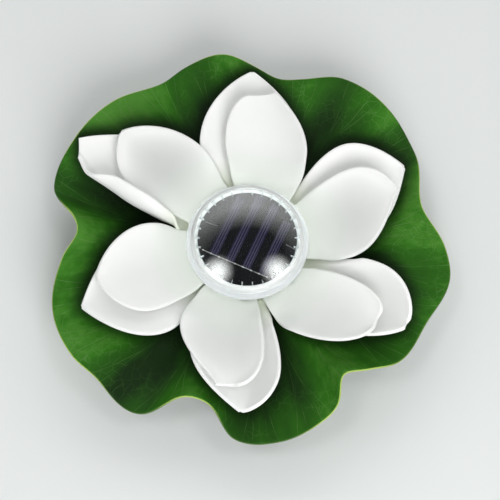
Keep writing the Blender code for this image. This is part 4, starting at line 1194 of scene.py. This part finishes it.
# %% Disc, strip and ribbon finishes
MOULD_CLOUD_SCALE = 70.0
MOULD_DARKER = 0.9
MOULD_SHINE = (0.85, 1.15)
MOULD_GRAIN = 900.0
MOULD_GRAIN_DEPTH = 0.00003
RUB_SCALE = 600.0
RUB_SHINE = (0.7, 1.4)
RUB_DEPTH = 0.00002
SILICON_COLOUR = (0.02, 0.017, 0.045)
SILICON_DARK = (0.006, 0.005, 0.018)
SILICON_LIGHT = (0.020, 0.016, 0.045)
SILICON_CLOUD_SCALE = 130.0
STRIP_LINE_COLOUR = (0.15, 0.14, 0.19)
STRIP_LINE_PITCH = 0.0017
STRIP_LINE_SHARE = 0.14
PANEL_BLACK = (0.005, 0.005, 0.006)
SEAL_WHITE = (0.88, 0.90, 0.89)
TIN_COLOUR = (0.80, 0.79, 0.76)
DULL_TIN_COLOUR = (0.22, 0.22, 0.23)


def moulded(name, colour, roughness):
    """Moulded plastic or rubber: a slight mottle, a little unevenness in the shine and a fine grain."""
    finish = plain_finish(name, colour, roughness)
    place = coordinates(finish, "Object")
    cloud = noise(finish, place, MOULD_CLOUD_SCALE, detail=3.0)
    darker = tuple(MOULD_DARKER * part for part in colour)
    feed(finish, "Base Color", mixed(finish, cloud, darker, colour))
    uneven_shine(finish, cloud, roughness, MOULD_SHINE)
    bump(finish, noise(finish, place, MOULD_GRAIN), MOULD_GRAIN_DEPTH)
    return finish


def metal(name, colour, roughness):
    """Metal that is rubbed a little unevenly."""
    finish = plain_finish(name, colour, roughness, Metallic=1.0)
    rubbed = noise(finish, coordinates(finish, "Object"), RUB_SCALE, detail=4.0)
    uneven_shine(finish, rubbed, roughness, RUB_SHINE)
    bump(finish, rubbed, RUB_DEPTH)
    return finish


def strip_finish():
    """Clouded silicon with pale lines along the strip."""
    finish = plain_finish("Silicon strip", SILICON_COLOUR, roughness=0.12, Specular_IOR_Level=0.4)
    place = coordinates(finish, "Object")
    turn = add(finish, "Mapping", {"Vector": place, "Rotation": (0.0, 0.0, -STRIP_TURN)})
    across = add(finish, "SeparateXYZ", {"Vector": turn.outputs["Vector"]}).outputs["Y"]
    lines = calc(finish, "FRACT", calc(finish, "DIVIDE", across, STRIP_LINE_PITCH))
    beside = calc(finish, "ABSOLUTE", calc(finish, "SUBTRACT", lines, 0.5))
    line = calc(finish, "LESS_THAN", beside, STRIP_LINE_SHARE / 2)
    cloud = noise(finish, place, SILICON_CLOUD_SCALE)
    silicon = mixed(finish, cloud, SILICON_DARK, SILICON_LIGHT)
    feed(finish, "Base Color", mixed(finish, line, silicon, STRIP_LINE_COLOUR))
    return finish


dress(disc, moulded("Panel resin", PANEL_BLACK, roughness=0.10), "lamp", "panel_resin", "solar_panel")
dress(seal, moulded("White seal", SEAL_WHITE, roughness=0.5), "lamp", "white_rubber", "cover_seal")
silicon = strip_finish()
for number, strip in enumerate(strips, 1):
    dress(strip, silicon, "lamp", "silicon", f"solar_cell_{number}")
dress(ribbon, metal("Tinned ribbon", TIN_COLOUR, roughness=0.3), "lamp", "tinned_copper", "bus_ribbon")
dull_tin = metal("Dull tin", DULL_TIN_COLOUR, roughness=0.5)
for tab in tabs:
    dress(tab, dull_tin, "lamp", "tinned_copper")

# %% [markdown]
# ## Cup
#
# The clear cup carries the lamp through the foam. It is turned, and three round columns on its inner wall,
# which take the screws, are joined to it and bored by Boolean modifiers.

# %% Shape the cup
CUP_WALL = 0.0020
CUP_TOP_RADIUS = 0.0300
FLANGE_THICKNESS = 0.0020
CUP_FOOT_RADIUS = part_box("base_cap")[1].x
SCREW_COUNT = 3
SCREW_CIRCLE = 0.0222
COLUMN_RADIUS = 0.0032
COLUMN_FOOT = 0.0093
COLUMN_LENGTH = 0.0120
BORE_RADIUS = 0.0014
BORE_DEPTH = 0.0083
ROUND_SIDES = 32
SMALL_STEPS = 3


def small_edge(radius, top):
    """The rounding of an outer edge, from its top to its side, with few points."""
    return arc((radius - EDGE_ROUND, top - EDGE_ROUND), EDGE_ROUND, 90, 0, SMALL_STEPS)


def rod(name, radius, low, top, place):
    """An upright rod with rounded edges."""
    return turned(name, rounded_disc(radius, low, top), ROUND_SIDES, place)


def cup_profile():
    flange, foot_z, seat_z = round_node("housing_cup")
    flange_z = seat_z - FLANGE_THICKNESS
    upper = small_edge(flange, seat_z)
    lower = arc((flange - EDGE_ROUND, flange_z + EDGE_ROUND), EDGE_ROUND, 0, -90, SMALL_STEPS)
    return upper + lower + [
        (CUP_TOP_RADIUS, flange_z), (CUP_FOOT_RADIUS, foot_z),
        (CUP_FOOT_RADIUS - CUP_WALL, foot_z), (CUP_TOP_RADIUS - CUP_WALL, seat_z),
    ]


def combine(piece, tool, operation):
    """Joins a tool to a piece, or cuts it out of the piece, and deletes the tool."""
    modify(piece, "BOOLEAN", operation=operation, object=tool)
    bpy.data.objects.remove(tool)


def cup_column():
    """One column at the far side, with the web that ties it to the wall."""
    centre = (0.0, SCREW_CIRCLE)
    column = rod("column", COLUMN_RADIUS, COLUMN_FOOT, COLUMN_FOOT + COLUMN_LENGTH, centre)
    reach = CUP_FOOT_RADIUS - CUP_WALL / 2 - SCREW_CIRCLE
    size = (2 * COLUMN_RADIUS - EDGE_ROUND, reach, COLUMN_LENGTH - EDGE_ROUND)
    place = (0.0, SCREW_CIRCLE + reach / 2, COLUMN_FOOT + COLUMN_LENGTH / 2)
    combine(column, block("web", size, place), "UNION")
    bore = rod("bore", BORE_RADIUS, COLUMN_FOOT - BORE_DEPTH, COLUMN_FOOT + BORE_DEPTH, centre)
    combine(column, bore, "DIFFERENCE")
    return column


cup = turned("clear_cup", cup_profile())
for column in copied_round(cup_column(), SCREW_COUNT):
    combine(cup, column, "UNION")
clean(cup)
smooth(cup)
dress(cup, clear, "lamp", "clear_plastic", "housing_cup")

# %% [markdown]
# ## Base
#
# The white base closes the cup from below. It is turned, then its posts and screw sleeves are joined to it,
# and the holes for screws and button are cut.

# %% Shape the base
BASE_FLOOR = 0.0030
BASE_ROUND = 0.0008
SPIGOT_RADIUS = 0.0264
SPIGOT_WALL = 0.0018
SPIGOT_TOP = 0.0090
SLEEVE_RADIUS = 0.0030
POST_RADIUS = 0.0024
PIN_RADIUS = 0.0012
PIN_PLACES = ((0.0128, -0.0088), (-0.0128, -0.0088), (0.0, 0.0158))
SHANK_HOLE = 0.0016
HEAD_HOLE = 0.0029
HEAD_SEAT = 0.0024
BUTTON_HOLE = 0.0048
BASE_WHITE = (0.84, 0.85, 0.84)


def straight_rod(radius, low, top):
    """The profile of a rod with sharp edges, for cutting a hole."""
    return [(0.0, top), (radius, top), (radius, low), (0.0, low)]


def node_centre(node):
    """The middle of a node in plan."""
    low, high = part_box(node)
    return (low.x + high.x) / 2, (low.y + high.y) / 2


def base_profile():
    foot = arc((CUP_FOOT_RADIUS - BASE_ROUND, BASE_ROUND), BASE_ROUND, 0, -90)
    shoulder = small_edge(CUP_FOOT_RADIUS, BASE_FLOOR)
    spigot = small_edge(SPIGOT_RADIUS, SPIGOT_TOP)
    inside = SPIGOT_RADIUS - SPIGOT_WALL
    wall = [(0.0, BASE_FLOOR), (inside, BASE_FLOOR), (inside, SPIGOT_TOP)]
    return wall + spigot + [(SPIGOT_RADIUS, BASE_FLOOR)] + shoulder + foot + [(0.0, 0.0)]


def base_piece():
    base = turned("base", base_profile())
    stand = BASE_FLOOR / 2
    board_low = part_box("circuit_board")[0].z
    pin_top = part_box("base_cap")[1].z
    for place in PIN_PLACES:
        combine(base, rod("post", POST_RADIUS, stand, board_low - EDGE_ROUND, place), "UNION")
        combine(base, rod("pin", PIN_RADIUS, stand, pin_top, place), "UNION")
    screws = [node_centre(f"base_screw_{number}") for number in range(1, SCREW_COUNT + 1)]
    for place in screws:
        combine(base, rod("sleeve", SLEEVE_RADIUS, stand, SPIGOT_TOP, place), "UNION")
    shank = straight_rod(SHANK_HOLE, HEAD_SEAT, COLUMN_FOOT)
    head = straight_rod(HEAD_HOLE, -BASE_FLOOR, HEAD_SEAT)
    for place in screws:
        combine(base, turned("hole", shank[:-1] + head[1:], ROUND_SIDES, place), "DIFFERENCE")
    opening = straight_rod(BUTTON_HOLE, -BASE_FLOOR, 2 * BASE_FLOOR)
    combine(base, turned("opening", opening, centre=node_centre("switch_boot")), "DIFFERENCE")
    clean(base)
    smooth(base)
    return base


white_plastic = moulded("White plastic", BASE_WHITE, roughness=0.4)
dress(base_piece(), white_plastic, "lamp", "white_plastic", "base_cap")

# %% [markdown]
# ## Holder, switch, gasket and button
#
# The holder's and the switch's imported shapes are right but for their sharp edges. So a copy is merged, its
# flat facets are dissolved into whole faces, and a Bevel modifier rounds every corner. The gasket and the
# soft button are turned, the button with a shallow dish for the finger.

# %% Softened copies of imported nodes
SOFT_EDGE = 0.0002
FLAT_ANGLE = math.radians(1)
BEVEL_ANGLE = math.radians(35)
PLASTIC_BLACK = (0.02, 0.02, 0.022)


def softened(node, name):
    """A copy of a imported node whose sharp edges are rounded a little."""
    only(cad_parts[node])
    bpy.ops.object.duplicate()
    piece = named(name)
    clean(piece)
    with editing(piece):
        bpy.ops.mesh.dissolve_limited(angle_limit=FLAT_ANGLE)
    modify(piece, "BEVEL", width=SOFT_EDGE, segments=2, limit_method="ANGLE", angle_limit=BEVEL_ANGLE)
    smooth(piece)
    return piece


black_plastic = moulded("Black plastic", PLASTIC_BLACK, roughness=0.45)
dress(softened("battery_holder", "cell_holder"), black_plastic, "lamp", "black_plastic", "battery_holder")
dress(softened("switch_body", "switch_case"), black_plastic, "lamp", "black_plastic", "switch_body")

# %% Gasket and button
GASKET_WIDTH = 0.0020
GASKET_ROUND = 0.00025
BUTTON_RADIUS = 0.0045
BUTTON_ROUND = 0.0008
BUTTON_FLANGE = 0.0008
DISH_RADII = (0.0026, 0.0031)
DISH_DEPTH = 0.0003
RUBBER_BLACK = (0.018, 0.018, 0.018)
SILICONE_GREY = (0.33, 0.35, 0.36)


def button_profile():
    flange, low, top = round_node("switch_boot")
    face = arc((BUTTON_RADIUS - BUTTON_ROUND, low + BUTTON_ROUND), BUTTON_ROUND, 0, -90)
    dish = [(DISH_RADII[1], low), (DISH_RADII[0], low + DISH_DEPTH), (0.0, low + DISH_DEPTH)]
    rim = [(0.0, top), (flange, top), (flange, top - BUTTON_FLANGE), (BUTTON_RADIUS, top - BUTTON_FLANGE)]
    return rim + face + dish


gasket_radius, gasket_low, gasket_top = round_node("base_gasket")
gasket = turned("gasket", rounded_ring(
    gasket_radius - GASKET_WIDTH, gasket_radius, gasket_low, gasket_top, GASKET_ROUND,
))
button = turned("button", button_profile(), centre=node_centre("switch_boot"))
dress(gasket, moulded("Black rubber", RUBBER_BLACK, roughness=0.65), "lamp", "black_rubber", "base_gasket")
dress(button, moulded("Silicone", SILICONE_GREY, roughness=0.6), "switch_button", "silicone", "switch_boot")

# %% [markdown]
# ## Screws
#
# A screw is a turned profile whose shank carries rings for its thread. Two crossed blocks, cut out of its
# head, leave the recess for the driver. It is modelled once and copied twice round the base.

# %% Shape the screws
HEAD_RADIUS = 0.0026
HEAD_HEIGHT = 0.0016
HEAD_ROUND = 0.0006
SHANK_RADIUS = 0.0013
THREAD_DEPTH = 0.0003
THREAD_PITCH = 0.0010
THREAD_COUNT = 12
CROSS_SIZE = (0.0030, 0.0007, 0.0020)
STEEL_COLOUR = (0.66, 0.65, 0.62)


def screw_profile(low, top):
    neck = low + HEAD_HEIGHT
    core = SHANK_RADIUS - THREAD_DEPTH
    head = arc((HEAD_RADIUS - HEAD_ROUND, low + HEAD_ROUND), HEAD_ROUND, -90, 0)
    thread = [(HEAD_RADIUS, neck), (SHANK_RADIUS, neck)]
    for i in range(1, THREAD_COUNT):
        crest = top - SHANK_RADIUS - THREAD_PITCH * (THREAD_COUNT - i)
        thread += [(core, crest - THREAD_PITCH / 2), (SHANK_RADIUS, crest)]
    return [(0.0, low)] + head + thread + [(core, top - SHANK_RADIUS), (0.0, top)]


def base_screw():
    low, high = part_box("base_screw_1")
    centre = node_centre("base_screw_1")
    screw = turned("screw", screw_profile(low.z, high.z), ROUND_SIDES, centre)
    for turn in (0.0, math.pi / 2):
        combine(screw, block("cross", CROSS_SIZE, (*centre, low.z), turn), "DIFFERENCE")
    smooth(screw)
    return screw


steel = metal("Plated steel", STEEL_COLOUR, roughness=0.28)
for number, screw in enumerate(copied_round(base_screw(), SCREW_COUNT), 1):
    dress(screw, steel, "lamp", "plated_steel", f"base_screw_{number}")

# %% [markdown]
# ## Board and cell
#
# Through the cup show the board with two lamps, a coil and a chip, and the cell in its holder. Each is a
# turned profile or a softened copy. The coil's winding is a turned ring with a bead for each turn of wire.

# %% Lamps, coil and cell
LAMP_RADIUS = 0.0025
LAMP_RIM_HEIGHT = 0.0010
LAMP_STEPS = 10
SPOOL_CAP = 0.0010
SPOOL_WAIST = 0.0016
WIRE_RADIUS = 0.0002
WIRE_TURNS = 8
CELL_ROUND = 0.0006
NUB_RADIUS = 0.0019
NUB_LENGTH = 0.0008
CELL_GREEN = (0.05, 0.30, 0.12)


def lamp_profile(rim, low, top):
    dome = arc((0.0, top - LAMP_RADIUS), LAMP_RADIUS, 90, 0, LAMP_STEPS)
    foot = small_edge(rim, low + LAMP_RIM_HEIGHT)
    return dome + [(LAMP_RADIUS, low + LAMP_RIM_HEIGHT)] + foot + [(rim, low), (0.0, low)]


def coil_pieces():
    radius, low, top = round_node("boost_inductor")
    centre = node_centre("boost_inductor")
    spool = joined("coil_spool", [
        rod("spool", radius, low, low + SPOOL_CAP, centre),
        rod("spool", radius, top - SPOOL_CAP, top, centre),
        rod("spool", SPOOL_WAIST, low + SPOOL_CAP / 2, top - SPOOL_CAP / 2, centre),
    ])
    pitch = (top - low - 2 * SPOOL_CAP) / WIRE_TURNS
    beads = []
    for i in range(WIRE_TURNS):
        height = low + SPOOL_CAP + pitch * (i + 0.5)
        beads += arc((SPOOL_WAIST + WIRE_RADIUS, height), pitch / 2, -90, 90, EDGE_STEPS)
    ends = [(SPOOL_WAIST, beads[-1][1]), (SPOOL_WAIST, beads[0][1])]
    return spool, turned("coil_winding", beads + ends, ROUND_SIDES, centre)


def cell_can():
    """The cell, turned upright, then laid down along X."""
    low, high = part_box("battery_cell")
    half = (high.x - low.x - NUB_LENGTH) / 2
    radius = (high.z - low.z) / 2
    can = rounded_disc(radius, -half, half, CELL_ROUND)
    nub = [(0.0, half + NUB_LENGTH), (NUB_RADIUS, half + NUB_LENGTH), (NUB_RADIUS, half)]
    cell = turned("cell_can", nub + can[1:])
    cell.rotation_euler.y = math.pi / 2
    cell.location = (low.x + half, (low.y + high.y) / 2, (low.z + high.z) / 2)
    bpy.ops.object.transform_apply(location=True, rotation=True)
    cell.data.materials.append(moulded("Cell wrap", CELL_GREEN, roughness=0.28))
    cell.data.materials.append(steel)
    for face in cell.data.polygons:
        face.material_index = int(abs(face.center.x - low.x - half) > half - CELL_ROUND / 4)
    return cell


print("coil turns:", WIRE_TURNS)

# %% Finishes of lamps, coil and cell
RESIN_COLOUR = (0.95, 0.93, 0.84)
RESIN_CLOUDY = (0.90, 0.86, 0.70)
RESIN_CLEAR = (0.97, 0.96, 0.90)
RESIN_CLOUD_SCALE = 400.0
RESIN_ROUGHNESS = (0.06, 0.2)
FERRITE_GREY = (0.06, 0.06, 0.065)
COPPER_COLOUR = (0.60, 0.26, 0.12)


def resin_finish():
    """Clear resin, a little cloudy in places."""
    finish = plain_finish("Lamp resin", RESIN_COLOUR, roughness=0.1, Transmission_Weight=0.6)
    cloud = noise(finish, coordinates(finish, "Object"), RESIN_CLOUD_SCALE, detail=3.0)
    feed(finish, "Base Color", mixed(finish, cloud, RESIN_CLOUDY, RESIN_CLEAR))
    feed(finish, "Roughness", varied(finish, cloud, *RESIN_ROUGHNESS))
    return finish


resin = resin_finish()
for node in ("led_1", "led_2"):
    low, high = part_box(node)
    profile = lamp_profile((high.x - low.x) / 2, low.z, high.z)
    bulb = turned(f"{node}_bulb", profile, ROUND_SIDES, node_centre(node))
    dress(bulb, resin, "lamp", "led_resin", node)
spool, winding = coil_pieces()
dress(spool, moulded("Ferrite", FERRITE_GREY, roughness=0.6), "lamp", "ferrite", "boost_inductor")
dress(winding, metal("Enamelled copper", COPPER_COLOUR, roughness=0.3), "lamp", "ferrite")
settle(cell_can(), "lamp", "cell_wrap", "battery_cell")

# %% Board, chip and solder
PIN_HOLE = 0.0014
LEAD_FOOT_RADIUS = 0.0150
LEAD_FOOT_ANGLES = (38, 142)
JOINT_RADIUS = 0.0013
JOINT_HEIGHT = 0.0009
# Shares of a joint's radius and height, from its top to its foot
JOINT_STEPS = ((0.0, 1.0), (0.55, 0.8), (0.75, 0.4), (1.0, 0.0), (0.0, 0.0))
BOARD_GREEN = (0.025, 0.17, 0.06)


def solder_joints():
    """A small dome of solder at the foot of each wire."""
    board_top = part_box("circuit_board")[1].z
    dome = [(JOINT_RADIUS * out, board_top + JOINT_HEIGHT * up) for out, up in JOINT_STEPS]
    places = [on_circle(LEAD_FOOT_RADIUS, math.radians(angle)) for angle in LEAD_FOOT_ANGLES]
    return joined("solder_joints", [turned("joint", dome, ROUND_SIDES, tuple(place)) for place in places])


def board_disc():
    board = turned("board", rounded_disc(*round_node("circuit_board")))
    low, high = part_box("base_cap")
    for place in PIN_PLACES:
        hole = turned("hole", straight_rod(PIN_HOLE, low.z, high.z), ROUND_SIDES, place)
        combine(board, hole, "DIFFERENCE")
    smooth(board)
    return board


dress(board_disc(), moulded("Board", BOARD_GREEN, roughness=0.4), "lamp", "board", "circuit_board")
dress(softened("driver_chip", "chip"), black_plastic, "lamp", "black_plastic", "driver_chip")
dress(solder_joints(), dull_tin, "lamp", "tinned_copper")

# %% [markdown]
# ## Imported pieces
#
# The reflector, the switch's plunger, the contacts and the two leads are right as packed, so they keep their
# shape and only get a finish.

# %% Finishes of the imported pieces
WIRE_RED = (0.50, 0.03, 0.02)
WIRE_BLACK = (0.02, 0.02, 0.02)


def redress(node, finish):
    """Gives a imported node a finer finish."""
    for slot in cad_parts[node].material_slots:
        slot.material = finish


packed_finishes = {
    "reflector_plate": white_plastic, "switch_plunger": white_plastic,
    "battery_contact_positive": steel, "battery_contact_negative": steel,
    "panel_lead_positive": moulded("Red wire", WIRE_RED, roughness=0.4),
    "panel_lead_negative": moulded("Black wire", WIRE_BLACK, roughness=0.4),
}
for node, finish in packed_finishes.items():
    redress(node, finish)
print("packed pieces with a finish:", len(packed_finishes))
